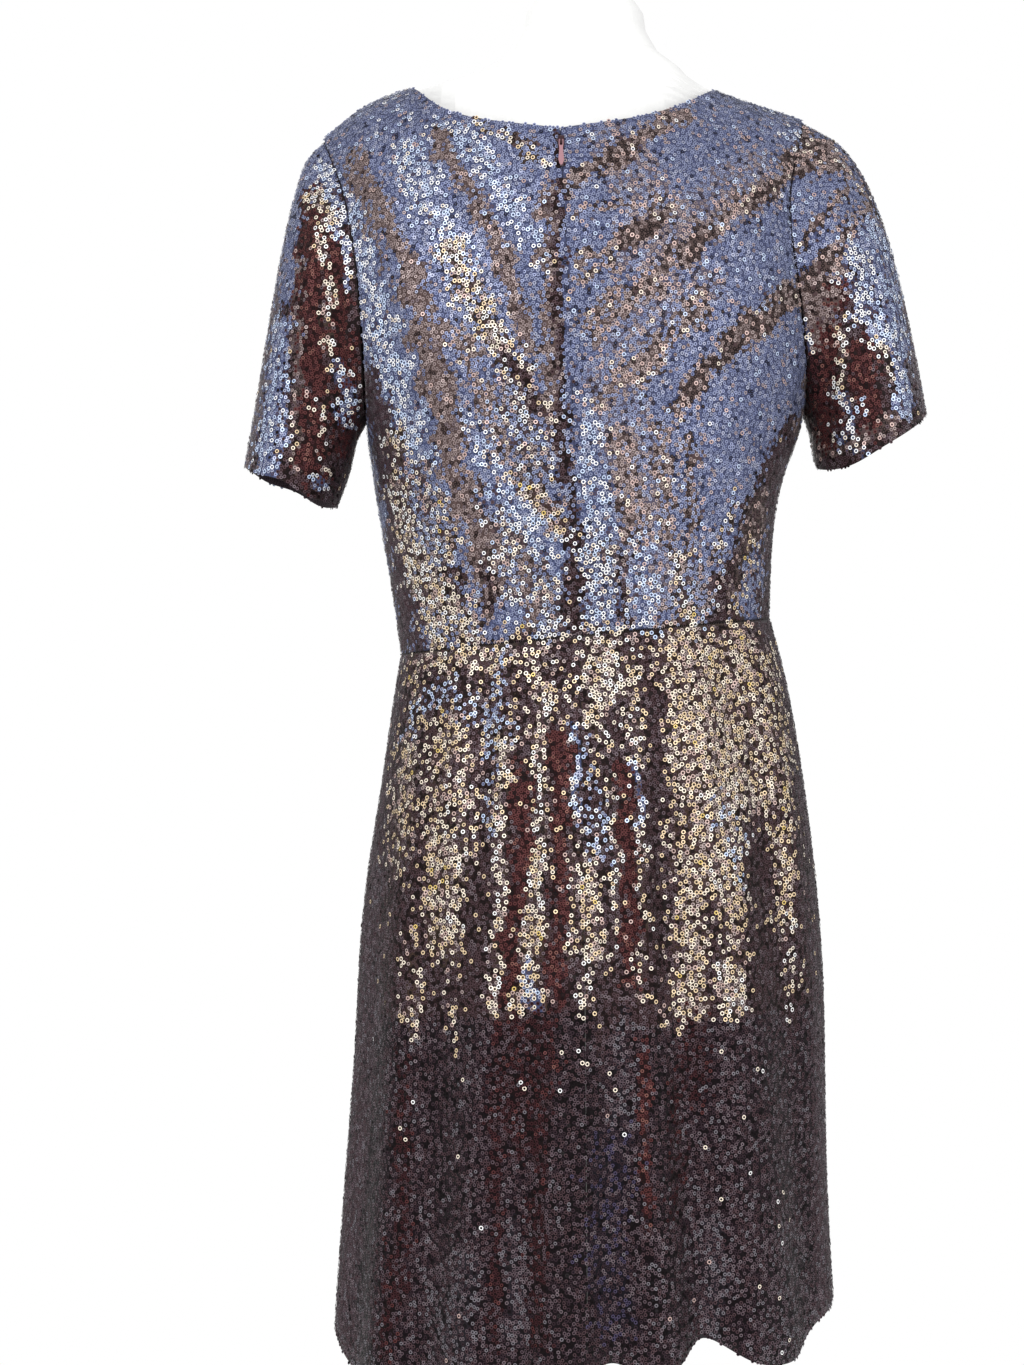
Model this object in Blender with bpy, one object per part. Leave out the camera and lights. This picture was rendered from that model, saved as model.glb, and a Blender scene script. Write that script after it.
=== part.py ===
"""A short-sleeved cocktail dress with a back zip, on a limbless dress form with a pole and a round base.

Metres, +Z up. The dress faces -Y, so its back is at +Y, and the wearer's left is +X. The origin is the
centre of the underside of the base. The cloth hangs a little askew: the waist and the hem are lower on
the wearer's left, and the shoulders are shifted that way.
"""

from collections import namedtuple
from math import cos, pi, radians, sin

import bmesh
import bpy
import numpy as np

# Driving dimensions
CLOTH = 0.0015  # wall: net with the sequins sewn on it
SEAM_GAP = 0.0003  # between two pieces at a seam
WAIST = 0.956  # height of the waist seam on the centre line
SKIRT_LENGTH = 0.5317  # waist seam to hem, measured straight down
WAIST_TILT, HEM_TILT = 0.096, 0.0677  # fall in height for each metre towards the wearer's left
LEVEL_HEIGHT = 1.12  # the bodice is level from here up
BLADE_HEIGHT, BUST_HEIGHT = 1.20, 1.15  # where the back and the front turn in towards the shoulders
FRONT_SLOPE = 1.4  # how much straighter the upper chest slopes than the upper back

# The cloth's inside, in level sections: half widths to each side and depths behind and in front.
Section = namedtuple("Section", "name height left right back front square")
BODICE = [
    Section("waist", WAIST, 0.1440, 0.1470, 0.097, 0.103, 2.2),
    Section("midriff", 1.000, 0.1505, 0.1480, 0.101, 0.107, 2.2),
    Section("ribs", 1.040, 0.1580, 0.1505, 0.105, 0.116, 2.2),
    Section("chest", 1.080, 0.1655, 0.1575, 0.109, 0.128, 2.2),
    Section("underarm", 1.120, 0.1722, 0.1720, 0.112, 0.135, 2.15),
    Section("armhole", 1.160, 0.1900, 0.1810, 0.114, 0.138, 2.1),
    Section("blade", 1.200, 0.2050, 0.1880, 0.115, 0.138, 2.0),
    Section("shoulder", 1.300, 0.2120, 0.1900, 0.115, 0.138, 2.0),
    Section("top", 1.480, 0.2120, 0.1900, 0.115, 0.138, 2.0),
]

Flare = namedtuple("Flare", "name drop left right back front square")
SKIRT = [
    Flare("waist", 0.000, 0.1440, 0.1470, 0.097, 0.103, 2.2),
    Flare("gathers", 0.035, 0.1500, 0.1575, 0.108, 0.111, 2.2),
    Flare("high_hip", 0.110, 0.1600, 0.1705, 0.127, 0.122, 2.2),
    Flare("hip", 0.200, 0.1755, 0.1825, 0.140, 0.132, 2.2),
    Flare("thigh", 0.300, 0.1795, 0.1900, 0.150, 0.142, 2.1),
    Flare("low", 0.420, 0.1895, 0.1905, 0.158, 0.150, 2.1),
    Flare("hem", SKIRT_LENGTH, 0.1975, 0.1965, 0.166, 0.156, 2.1),
]

# Troughs of the skirt's folds. Angles run from the centre back, positive towards the wearer's left.
Fold = namedtuple("Fold", "name waist_deg hem_deg width_deg waist_depth hem_depth")
FOLDS = [
    Fold("flank_left", 68, 71, 17, 0.000, 0.012),
    Fold("far_left", 38, 41, 15, 0.002, 0.015),
    Fold("near_left", 15, 16.5, 9, 0.004, 0.015),
    Fold("beside_zip", 7, 7.5, 6, 0.005, 0.001),
    Fold("near_right", -9, -5, 9, 0.004, 0.016),
    Fold("mid_right", -16, -28, 11, 0.005, 0.022),
    Fold("far_right", -41, -64, 14, 0.005, 0.010),
    Fold("front_far_left", 104, 102, 15, 0.002, 0.014),
    Fold("front_mid_left", 128, 125, 12, 0.004, 0.018),
    Fold("front_near_left", 149, 151, 10, 0.003, 0.012),
    Fold("front_centre", 170, 166, 11, 0.005, 0.018),
    Fold("front_near_right", 189, 192, 11, 0.003, 0.013),
    Fold("front_mid_right", 210, 208, 11, 0.005, 0.019),
    Fold("front_far_right", 233, 237, 14, 0.003, 0.013),
    Fold("front_flank", 256, 254, 13, 0.002, 0.015),
]
HEM_LIFT = 0.5  # a trough lifts the hem by this share of its depth

# How much lower the hem hangs than its straight line, round the skirt
Hang = namedtuple("Hang", "name degrees drop")
HEM = [
    Hang("centre_front", -180, 0.006),
    Hang("front_left", -138, 0.011),
    Hang("front_side_left", -102, 0.000),
    Hang("side_right", -90, -0.002),
    Hang("behind_right", -74, 0.008),
    Hang("far_right", -60, 0.026),
    Hang("back_right", -46, 0.024),
    Hang("arch_right", -28, 0.007),
    Hang("lobe_right", -16, 0.013),
    Hang("centre_back", 0, 0.011),
    Hang("back_left", 30, 0.021),
    Hang("behind_left", 74, 0.030),
    Hang("side_left", 88, 0.002),
    Hang("front_side", 100, 0.000),
    Hang("front_right", 140, 0.012),
    Hang("centre_front_again", 180, 0.006),
]

# The ridge of the shoulders across the dress, from the wearer's right to the left
Ridge = namedtuple("Ridge", "name x z")
RIDGE = [
    Ridge("past_right", -0.190, 1.3620),
    Ridge("right_point", -0.1758, 1.3684),
    Ridge("right_neck", -0.1055, 1.3920),
    Ridge("under_neck_right", -0.050, 1.4200),
    Ridge("centre", 0.010, 1.4500),
    Ridge("under_neck_left", 0.080, 1.4250),
    Ridge("left_neck", 0.138, 1.3945),
    Ridge("left_shoulder", 0.172, 1.3820),
    Ridge("left_point", 0.207, 1.3540),
    Ridge("past_left", 0.218, 1.3420),
]
NECK_LEFT, NECK_RIGHT = 0.138, -0.1055
POINT_LEFT, POINT_RIGHT = 0.207, -0.1745

Edge = namedtuple("Edge", "name x z")
BACK_NECKLINE = [
    Edge("left", NECK_LEFT, 1.3945),
    Edge("left_curve", 0.1090, 1.3615),
    Edge("left_low", 0.0820, 1.3510),
    Edge("zip", 0.0205, 1.3400),
    Edge("right_low", -0.0412, 1.3515),
    Edge("right_curve", -0.0815, 1.3700),
    Edge("right", NECK_RIGHT, 1.3920),
]
FRONT_NECKLINE = [
    Edge("left", NECK_LEFT, 1.3945),
    Edge("left_curve", 0.1120, 1.3520),
    Edge("left_low", 0.0720, 1.3250),
    Edge("centre", 0.0170, 1.3140),
    Edge("right_low", -0.0380, 1.3250),
    Edge("right_curve", -0.0790, 1.3520),
    Edge("right", NECK_RIGHT, 1.3920),
]
CENTRE_BACK = [
    Edge("hem", 0.0020, 0.42),
    Edge("waist", 0.0063, WAIST),
    Edge("blade", 0.0137, 1.19),
    Edge("neck", 0.0205, 1.34),
]

# The armhole from the underarm to the shoulder point, as seen from behind, with the front's own curve
Arm = namedtuple("Arm", "name left_x left_front_x left_z right_x right_front_x right_z")
ARMHOLE = [
    Arm("underarm", None, None, 1.1190, None, None, 1.1300),
    Arm("low", 0.1705, 0.1700, 1.1450, -0.1735, -0.1725, 1.1550),
    Arm("middle", 0.1735, 0.1680, 1.2157, -0.1645, -0.1610, 1.2220),
    Arm("high", 0.1865, 0.1790, 1.2980, -0.1565, -0.1560, 1.2840),
    Arm("shoulder", POINT_LEFT, POINT_LEFT, 1.3540, POINT_RIGHT, POINT_RIGHT, 1.3684),
]

# Each sleeve ring joins a point on the sleeve's outer line to one on its inner line.
Ring = namedtuple("Ring", "name outer_x outer_z inner_x inner_z half_depth back_drop")
SLEEVE_LEFT = [
    Ring("head", 0.2180, 1.3440, 0.1795, 1.1150, 0.060, 0.0),
    Ring("cap", 0.2265, 1.3270, 0.1825, 1.1115, 0.058, 0.0),
    Ring("crown", 0.2370, 1.2800, 0.1848, 1.1030, 0.055, 0.0),
    Ring("upper", 0.2460, 1.2300, 0.1868, 1.0910, 0.053, 0.0),
    Ring("lower", 0.2565, 1.1650, 0.1915, 1.0770, 0.052, 0.0),
    Ring("cuff", 0.2695, 1.0920, 0.1980, 1.0610, 0.053, 0.0),
]
SLEEVE_RIGHT = [
    Ring("head", -0.1965, 1.3575, -0.1785, 1.1250, 0.057, 0.0),
    Ring("cap", -0.2120, 1.3440, -0.1805, 1.1200, 0.056, 0.0),
    Ring("crown", -0.2320, 1.3080, -0.1820, 1.1150, 0.055, 0.002),
    Ring("upper", -0.2470, 1.2560, -0.1835, 1.1090, 0.054, 0.005),
    Ring("lower", -0.2600, 1.2030, -0.1850, 1.1020, 0.054, 0.008),
    Ring("cuff", -0.2725, 1.1370, -0.1875, 1.0930, 0.055, 0.012),
]
# Where a cuff hangs lower: how far across from the outer line, how wide and how deep
Dip = namedtuple("Dip", "side across width depth")
CUFF_DIPS = [
    Dip("left", 0.20, 0.12, 0.0035),
    Dip("left", 0.76, 0.13, 0.0048),
    Dip("right", 0.78, 0.20, 0.0045),
]

# The dress form, level by level. Between the shoulders and the neck it keeps under the cloth's ridge.
Level = namedtuple("Level", "name z width back front")
FORM = [
    Level("foot_edge", 0.680, 0.140, 0.088, 0.078),
    Level("foot", 0.690, 0.150, 0.098, 0.088),
    Level("seat_low", 0.740, 0.160, 0.112, 0.097),
    Level("seat", 0.790, 0.159, 0.114, 0.100),
    Level("high_hip", 0.850, 0.148, 0.103, 0.097),
    Level("under_waist", 0.910, 0.137, 0.089, 0.092),
    Level("waist", 0.960, 0.134, 0.085, 0.091),
    Level("midriff", 1.010, 0.138, 0.090, 0.098),
    Level("ribs", 1.060, 0.145, 0.097, 0.114),
    Level("bust", 1.120, 0.156, 0.105, 0.128),
    Level("chest", 1.170, 0.158, 0.109, 0.130),
    Level("blade", 1.220, 0.160, 0.110, 0.123),
    Level("armhole", 1.280, 0.163, 0.105, 0.113),
    Level("shoulder", 1.330, 0.164, 0.092, 0.098),
    Level("slope", 1.360, 0.160, 0.081, 0.084),
    Level("neck_foot", 1.385, 0.158, 0.068, 0.069),
    Level("neck_flare", 1.396, 0.112, 0.0610, 0.0625),
    Level("neck_curve", 1.408, 0.078, 0.0530, 0.0540),
    Level("neck_low", 1.421, 0.060, 0.0504, 0.0506),
    Level("neck", 1.438, 0.0500, 0.0490, 0.0490),
    Level("neck_high", 1.452, 0.0480, 0.0475, 0.0475),
    Level("neck_round", 1.461, 0.0420, 0.0415, 0.0415),
    Level("neck_top", 1.465, 0.0350, 0.0350, 0.0350),
]
FORM_LEVELS = [row.z for row in FORM if row.z < 1.33] + [
    1.330, 1.346, 1.358, 1.366, 1.372, 1.378, 1.384, 1.390, 1.396, 1.402,
] + [row.z for row in FORM if row.z > 1.405]
FORM_EASE = 0.0035  # inside the cloth behind and in front
RIDGE_EASE = 0.0006  # under the cloth that rests on the shoulders
FORM_STEEPER_BACK, FORM_STEEPER_FRONT = 1.4, 1.1  # the form carries the cloth along the ridge only
NECK_ROOM = 0.7  # the room that the form gains for each metre above the neckline
NECK_ROOM_FADE = 0.035  # it fades out over this towards the neckline's shoulder ends
NECK_FREE = 1.404  # above this the form stands clear of the neckline
CAP_RADIUS, CAP_THICK = 0.027, 0.008
POLE_RADIUS = 0.015
BASE = ((0.188, 0.0), (0.190, 0.002), (0.190, 0.006), (0.184, 0.010), (0.040, 0.016))  # radius, height

# Zip: the slider stays closed just under the neckline, and its tab hangs from a pin under its bridge.
ZIP_BELOW_WAIST = 0.18
TAPE_THICK, TAPE_WIDTH, TAPE_GAP = 0.0008, 0.0105, 0.0005
PIN_HEIGHT = 1.3284
PIN_OFF_CLOTH = 0.0026
SLIDER_WIDTH, SLIDER_LENGTH, SLIDER_THICK = 0.0050, 0.0090, 0.0012
BRIDGE_WIDTH, BRIDGE_HALF_LENGTH, BRIDGE_TOP, BRIDGE_WALL = 0.0014, 0.0032, 0.0021, 0.0010
BRIDGE_CORNER_OUT, BRIDGE_CORNER_IN = 0.0008, 0.0006  # cut off the bridge's outer corners, along and across
TAB_THICK = 0.0010
TAB_EYE_START, TAB_EYE_END = 0.0006, 0.0043  # above and below the pin
TAB_EYE_PLAY = 0.0003  # beside the bridge
TAB_STEPS = 6  # how many points draw each side of the tab from the pin to the belly
TAPE_SHORT = 0.12  # how much of its last row the tape leaves free under the neckline
Outline = namedtuple("Outline", "name below half_width")
TAB = [
    Outline("top", -0.0006, 0.0016),
    Outline("pin", 0.0000, 0.0018),
    Outline("shoulder", 0.0030, 0.0018),
    Outline("neck", 0.0070, 0.0014),
    Outline("belly", 0.0160, 0.0021),
    Outline("round", 0.0192, 0.0014),
    Outline("tip", 0.0207, 0.0005),
]

# How finely each piece is faceted
ROWS_BELOW_ARM, ROWS_BY_ARM = 7, 11
COLUMNS_NECK, COLUMNS_SHOULDER = 7, 4
CLOSER_UP = 1.3  # the rows lie closer together where the cloth rounds over the shoulder
SKIRT_ROWS, SKIRT_STEP_DEG = 8, 3
SLEEVE_ROWS = 7
FORM_SIDES, POLE_SIDES = 64, 32
FORM_ROUNDNESS = 0.9  # 1 is an ellipse seen from above; less is a little fuller behind and in front
FORM_BLEND = 6  # the form follows whichever is less of its own depth and the cloth's room; more is sharper


def column(table, field):
    return np.array([getattr(row, field) for row in table], float)


def smooth(knots, values, at):
    """A smooth curve through the knots that doesn't overshoot between them."""
    knots, values, at = (np.asarray(a, float) for a in (knots, values, at))
    if knots[0] > knots[-1]:
        knots, values = knots[::-1], values[::-1]
    step = np.diff(knots)
    rise = np.diff(values) / step
    slope = np.concatenate([rise[:1], (rise[:-1] + rise[1:]) / 2, rise[-1:]])
    turning = rise[:-1] * rise[1:] <= 0
    steepest = 3 * np.minimum(abs(rise[:-1]), abs(rise[1:]))
    slope[1:-1] = np.where(turning, 0, np.clip(slope[1:-1], -steepest, steepest))
    at = np.clip(at, knots[0], knots[-1])
    i = np.clip(np.searchsorted(knots, at, "right") - 1, 0, len(step) - 1)
    t = (at - knots[i]) / step[i]
    return (
        (1 + 2 * t) * (1 - t) ** 2 * values[i]
        + t * (1 - t) ** 2 * step[i] * slope[i]
        + t * t * (3 - 2 * t) * values[i + 1]
        + t * t * (t - 1) * step[i] * slope[i + 1]
    )


def read(table, key, field, at):
    return smooth(column(table, key), column(table, field), at)


# Shape of the bodice ------------------------------------------------------------------


def half_width(height, to_left):
    left, right = (read(BODICE, "height", side, height) for side in ("left", "right"))
    return np.where(to_left, left, right)


def turn_height(behind):
    return BLADE_HEIGHT if behind else BUST_HEIGHT


def depth_below_ridge(x, height, behind, ridge_drop=0.0, steeper=1.0):
    """How much of the depth is left at this height: all below the turn, none at the shoulder ridge."""
    turn = turn_height(behind)
    ridge = read(RIDGE, "x", "z", x) - ridge_drop
    share = np.clip((height - turn) / (ridge - turn), 0, 1)
    return np.sqrt(1 - share**2) ** ((1 if behind else FRONT_SLOPE) * steeper)


def bodice_depth(x, height, behind, ridge_drop=0.0, steeper=1.0):
    """Distance of the cloth's inside from the plane through the side and shoulder seams."""
    turn = turn_height(behind)
    low = np.minimum(height, turn)
    deep = read(BODICE, "height", "back" if behind else "front", low)
    square = read(BODICE, "height", "square", height)
    across = np.clip(abs(x) / half_width(height, x > 0), 0, 1)
    left = depth_below_ridge(x, height, behind, ridge_drop, steeper)
    return deep * (1 - across**square) ** (1 / square) * left


def tilt_at(height):
    return WAIST_TILT * np.clip((LEVEL_HEIGHT - height) / (LEVEL_HEIGHT - WAIST), 0, 1)


LOW_STEP = 0.314  # metres of height for one unit of rise below the turn
TOP_FADE = 4  # how soon the rows under the neckline and shoulder lose its corner


def bodice_point(angle, rise, behind):
    """A point on the cloth's inside. rise is 1 on the shoulder seams, 0 at the turn and negative below."""
    turn = turn_height(behind)
    x, height = np.zeros_like(angle), turn + LOW_STEP * np.minimum(rise, 0)
    for _ in range(12):  # the ridge depends on x, and x on the height
        x = half_width(height, angle > 0) * np.sin(angle)
        up = (read(RIDGE, "x", "z", x) - turn) * np.sin(np.clip(rise, 0, 1) * pi / 2)
        height = turn + np.where(rise > 0, up, LOW_STEP * rise)
    depth = bodice_depth(x, height, behind)
    on_seam = (abs(abs(angle) - pi / 2) < 1e-9) | (rise > 1 - 1e-9)
    depth = np.where(on_seam, 0, depth)
    return np.stack([x, depth if behind else -depth, height - tilt_at(height) * x], -1)


def place(x, z, behind):
    """The angle and rise of a point given as seen from behind, for heights where the bodice is level."""
    turn = turn_height(behind)
    angle = np.arcsin(np.clip(x / half_width(z, x > 0), -1, 1))
    share = np.clip((z - turn) / (read(RIDGE, "x", "z", x) - turn), -9, 1)
    rise = np.where(share > 0, np.arcsin(np.clip(share, 0, 1)) * 2 / pi, (z - turn) / LOW_STEP)
    return np.stack([angle, rise], -1)


def steps_up(count):
    """Shares from 0 to 1 that come closer together towards 1."""
    return 1 - np.linspace(1, 0, count + 1) ** CLOSER_UP


def lengths(line):
    """How far along the line each of its points lies."""
    return np.concatenate([[0], np.cumsum(np.linalg.norm(np.diff(line, axis=0), axis=1))])


def spread(points, shares):
    """Points at these shares of the length of a smooth line through the given ones."""
    along = lengths(points)
    return np.stack([smooth(along, points[:, k], shares * along[-1]) for k in range(points.shape[1])], -1)


def arm_edge(side, behind):
    """The side seam from waist to underarm and the armhole from there to the shoulder point."""
    z = column(ARMHOLE, f"{side}_z")
    x = column(ARMHOLE, f"{side}_x" if behind else f"{side}_front_x")
    x[0] = half_width(z[0], side == "left") * (1 if side == "left" else -1)
    hole = spread(np.stack([x, z], -1), steps_up(ROWS_BY_ARM))
    edge = place(hole[:, 0], hole[:, 1], behind)
    edge[0, 0], edge[-1, 1] = (pi / 2) * np.sign(x[0]), 1
    side_rows = np.linspace(WAIST, z[0], ROWS_BELOW_ARM + 1)[:-1]
    seam = np.stack(
        [np.full(ROWS_BELOW_ARM, edge[0, 0]), (side_rows - turn_height(behind)) / LOW_STEP], -1
    )
    return np.concatenate([seam, edge])


def top_edge(side, behind, middle_x):
    """From the middle of the neckline to its shoulder end, then along the shoulder seam."""
    line = BACK_NECKLINE if behind else FRONT_NECKLINE
    near, point = (NECK_LEFT, POINT_LEFT) if side == "left" else (NECK_RIGHT, POINT_RIGHT)
    x, z = column(line, "x"), column(line, "z")
    keep = (x > middle_x + 1e-6) if side == "left" else (x < middle_x - 1e-6)
    middle = [[middle_x, float(smooth(x, z, middle_x))]]
    ends = np.stack([x[keep], z[keep]], -1)
    ends = ends[::-1] if side == "left" else ends
    fine = spread(np.concatenate([middle, ends]), np.linspace(0, 1, 121))
    fine = place(fine[:, 0], fine[:, 1], behind)
    fine[-1, 1] = 1
    along = lengths(bodice_point(fine[:, 0], fine[:, 1], behind))
    even = np.linspace(0, along[-1], COLUMNS_NECK + 1)
    neck = np.stack([np.interp(even, along, fine[:, k]) for k in range(2)], -1)
    seam_x = np.linspace(near, point, COLUMNS_SHOULDER + 1)[1:]
    seam = place(seam_x, read(RIDGE, "x", "z", seam_x), behind)
    seam[:, 1] = 1
    return np.concatenate([neck, seam])


def centre_edge(behind, middle_x):
    """Up the middle of the piece, with its rows about level with those of the side seam and armhole."""
    line = BACK_NECKLINE if behind else FRONT_NECKLINE
    neck_z = float(read(line, "x", "z", middle_x))
    underarm = (ARMHOLE[0].left_z + ARMHOLE[0].right_z) / 2
    below = np.linspace(WAIST, underarm, ROWS_BELOW_ARM + 1)
    above = below[-1] + (neck_z - below[-1]) * steps_up(ROWS_BY_ARM)[1:]
    z = np.concatenate([below, above])
    if behind:
        x = read(CENTRE_BACK, "z", "x", z)
    else:
        x = middle_x * np.clip((z - WAIST) / (neck_z - WAIST), 0, 1)
    return place(x, z, behind)


def blend_patch(low, high, inner, outer):
    """A grid between four edges that meet at its corners. The top edge's corner fades quickly."""
    up = np.linspace(0, 1, len(inner))[:, None, None]
    over = np.linspace(0, 1, len(low))[None, :, None]
    flat_low = (1 - over) * low[0] + over * low[-1]
    flat_high = (1 - over) * high[0] + over * high[-1]
    ruled = (1 - over) * inner[:, None] + over * outer[:, None]
    return ruled + (1 - up) * (low[None] - flat_low) + up**TOP_FADE * (high[None] - flat_high)


def half_bodice(side, behind):
    """One half of the front or back, from the centre line to the side, as a grid of points."""
    middle = [row for row in (BACK_NECKLINE if behind else FRONT_NECKLINE) if row.name in ("zip", "centre")]
    middle_x = middle[0].x
    outer = arm_edge(side, behind)
    high = top_edge(side, behind, middle_x)
    inner = centre_edge(behind, middle_x)
    low = np.stack([np.linspace(inner[0, 0], outer[0, 0], len(high)), np.full(len(high), outer[0, 1])], -1)
    inner[0], inner[-1] = low[0], high[0]
    patch = blend_patch(low, high, inner, outer)
    return bodice_point(patch[..., 0], patch[..., 1], behind)


# Shape of the skirt -------------------------------------------------------------------


def fold_depth(angle, share):
    """How far the cloth goes in at this angle and share of the skirt's length."""
    total = np.zeros(np.broadcast(angle, share).shape)
    for fold in FOLDS:
        middle = np.radians(fold.waist_deg + (fold.hem_deg - fold.waist_deg) * share)
        away = (angle - middle + pi) % (2 * pi) - pi
        depth = fold.waist_depth + (fold.hem_depth - fold.waist_depth) * share
        depth = depth * np.clip(share / 0.08, 0, 1)  # none at the waist seam itself
        shape = np.cos(np.clip(away / radians(fold.width_deg), -1, 1) * pi / 2) ** 2
        total = total + depth * shape
    return total


def skirt_point(angle, drop):
    """A point on the skirt's inside. angle is 0 at the centre back and pi at the centre front."""
    share = drop / SKIRT_LENGTH
    left, right, back, front, square = (
        read(SKIRT, "drop", field, drop) for field in ("left", "right", "back", "front", "square")
    )
    width = np.where(np.sin(angle) > 0, left, right)
    depth = np.where(np.cos(angle) > 0, back, front)
    across = abs(np.sin(angle))
    x = width * np.sin(angle)
    y = np.sign(np.cos(angle)) * depth * (1 - np.minimum(across, 1) ** square) ** (1 / square)
    y = np.where(abs(np.cos(angle)) < 1e-9, 0, y)
    inwards = np.stack([x / width**2, y / depth**2], -1)
    inwards = inwards / np.linalg.norm(inwards, axis=-1, keepdims=True)
    fold = fold_depth(angle, share)
    tilt = WAIST_TILT + (HEM_TILT - WAIST_TILT) * share
    degrees = (np.degrees(angle) + 180) % 360 - 180
    lift = HEM_LIFT * fold - read(HEM, "degrees", "drop", degrees)
    z = WAIST - drop - tilt * x + lift * share**3
    return np.stack([x - inwards[..., 0] * fold, y - inwards[..., 1] * fold, z], -1)


def skirt_grid(first_deg, last_deg, centre_first=False, centre_last=False):
    """A stretch of the skirt. An end on the centre back follows the line of the zip."""
    drops = np.linspace(0, 1, SKIRT_ROWS + 1) ** 1.15 * SKIRT_LENGTH
    count = round(abs(last_deg - first_deg) / SKIRT_STEP_DEG)
    rows = []
    for drop in drops:
        centre = read(CENTRE_BACK, "z", "x", WAIST - drop)
        width = float(read(SKIRT, "drop", "left", drop))
        centre = float(np.arcsin(centre / width))
        first = centre if centre_first else radians(first_deg)
        last = centre if centre_last else radians(last_deg)
        angles = np.linspace(first, last, count + 1)
        rows.append(skirt_point(angles, np.full(count + 1, drop)))
    return np.array(rows[::-1])  # from the hem up, as in the bodice


# Shape of the sleeves -----------------------------------------------------------------


def armhole_loop(panels, side):
    """The armhole from the shoulder point down the back, round the underarm and up the front.

    Each point comes with the cloth's direction across the edge and its outward direction there.
    """
    back = panels[f"bodice_back_{side}"]
    front = panels["bodice_front"] if side == "left" else panels["bodice_front"][:, ::-1]
    front = front[:, ::-1]
    lines = []
    for grid in (back, front):
        arm = grid[ROWS_BELOW_ARM:]
        across = unit(arm[:, -1] - arm[:, -2])
        outwards = outward_normals(grid)[ROWS_BELOW_ARM:, -1]
        lines.append(np.stack([arm[:, -1], across, outwards], 1))
    back_line, front_line = lines
    for end in (0, -1):
        back_line[end] = (back_line[end] + front_line[end]) / 2
    loop = np.concatenate([back_line[::-1], front_line[1:-1]])
    return loop[:, 0], unit(loop[:, 1]), unit(loop[:, 2])


def sleeve_grid(loop, across, rings, side):
    """Rings from the armhole to the cuff, turning from upright to nearly level."""
    count = len(loop)
    sideways = np.array([1 if side == "left" else -1, 0, 0])
    turn = np.linspace(0, 2 * pi, count, endpoint=False)
    beside = under_share(turn)
    loop = loop + (1 - beside) * SEAM_GAP * across + beside * (SEAM_GAP + 2 * CLOTH) * sideways
    top, low = loop[0], loop[count // 2]
    names = ("outer_x", "outer_z", "inner_x", "inner_z")
    starts = (top[0], top[2], low[0], low[2])
    knots = np.linspace(0, 1, len(rings) + 1)
    axis = (low - top) / np.linalg.norm(low - top)
    half = np.linalg.norm(low - top) / 2
    centre = (top + low) / 2
    along = (loop - centre) @ axis / half
    aside = loop[:, 1]
    normal = np.cross(axis, [0, 1, 0])
    proud = (loop - centre) @ normal
    across_ring = (1 - np.cos(turn)) / 2
    dips = [row for row in CUFF_DIPS if row.side == side]
    dip = sum(row.depth * np.exp(-(((across_ring - row.across) / row.width) ** 2)) for row in dips)
    grid = [loop]
    for share in np.linspace(0, 1, SLEEVE_ROWS + 1)[1:]:
        ox, oz, ix, iz = (
            float(smooth(knots, np.concatenate([[start], column(rings, name)]), share))
            for name, start in zip(names, starts)
        )
        deep = float(smooth(knots[1:], column(rings, "half_depth"), share))
        drop = float(smooth(knots[1:], column(rings, "back_drop"), share))
        outer, inner = np.array([ox, 0, oz]), np.array([ix, 0, iz])
        ring_half = np.linalg.norm(inner - outer) / 2
        ring_axis = (inner - outer) / (2 * ring_half)
        ring_normal = np.cross(ring_axis, [0, 1, 0])
        mix = min(1.0, share * 1.6)
        mix = mix * mix * (3 - 2 * mix)
        along_now = (1 - mix) * along + mix * -np.cos(turn)
        aside_now = (1 - mix) * aside + mix * deep * np.sin(turn)
        ring = (outer + inner) / 2 + ring_half * along_now[:, None] * ring_axis
        ring = ring + aside_now[:, None] * np.array([0, 1, 0])
        ring = ring + ((1 - mix) * proud)[:, None] * ring_normal
        ring[:, 2] -= drop * aside_now / deep
        ring[:, 2] -= dip * share**2
        grid.append(ring)
    return np.array(grid)


def under_share(turn):
    """From 0 over the shoulder, where sleeve and bodice meet edge to edge, to 1 side by side below."""
    return (((1 - np.cos(turn)) / 2) ** 3)[:, None]


# Making the pieces --------------------------------------------------------------------


def material(name, colour, roughness, metallic=0.0):
    made = bpy.data.materials.new(name)
    made.use_nodes = True
    shader = made.node_tree.nodes["Principled BSDF"]
    shader.inputs["Base Color"].default_value = (*colour, 1)
    shader.inputs["Roughness"].default_value = roughness
    shader.inputs["Metallic"].default_value = metallic
    return made


def add_object(name, points, faces, finish):
    mesh = bpy.data.meshes.new(name)
    mesh.from_pydata([tuple(p) for p in points], [], [tuple(f) for f in faces])
    mesh.materials.append(finish)
    mesh.validate()
    made = bpy.data.objects.new(name, mesh)
    bpy.context.scene.collection.objects.link(made)
    return made


def unit(vectors):
    return vectors / np.linalg.norm(vectors, axis=-1, keepdims=True)


def outward_normals(grid, round_about=False):
    """Outward directions at each point of a grid. A piece of the body faces away from the Z axis."""
    over = np.roll(grid, -1, 1) - np.roll(grid, 1, 1) if round_about else np.gradient(grid, axis=1)
    normals = unit(np.cross(over, np.gradient(grid, axis=0)))
    middle = grid.mean(axis=1, keepdims=True) if round_about else np.array([0, 0, 1]) * grid
    return normals * np.sign(np.sum(normals * (grid - middle)))


def level_rows(normals, rows):
    """Makes the wall's end level at these rows, so that the pieces above and below don't meet."""
    normals[rows, :, 2] = 0
    normals[rows] /= np.linalg.norm(normals[rows], axis=-1, keepdims=True)


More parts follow.
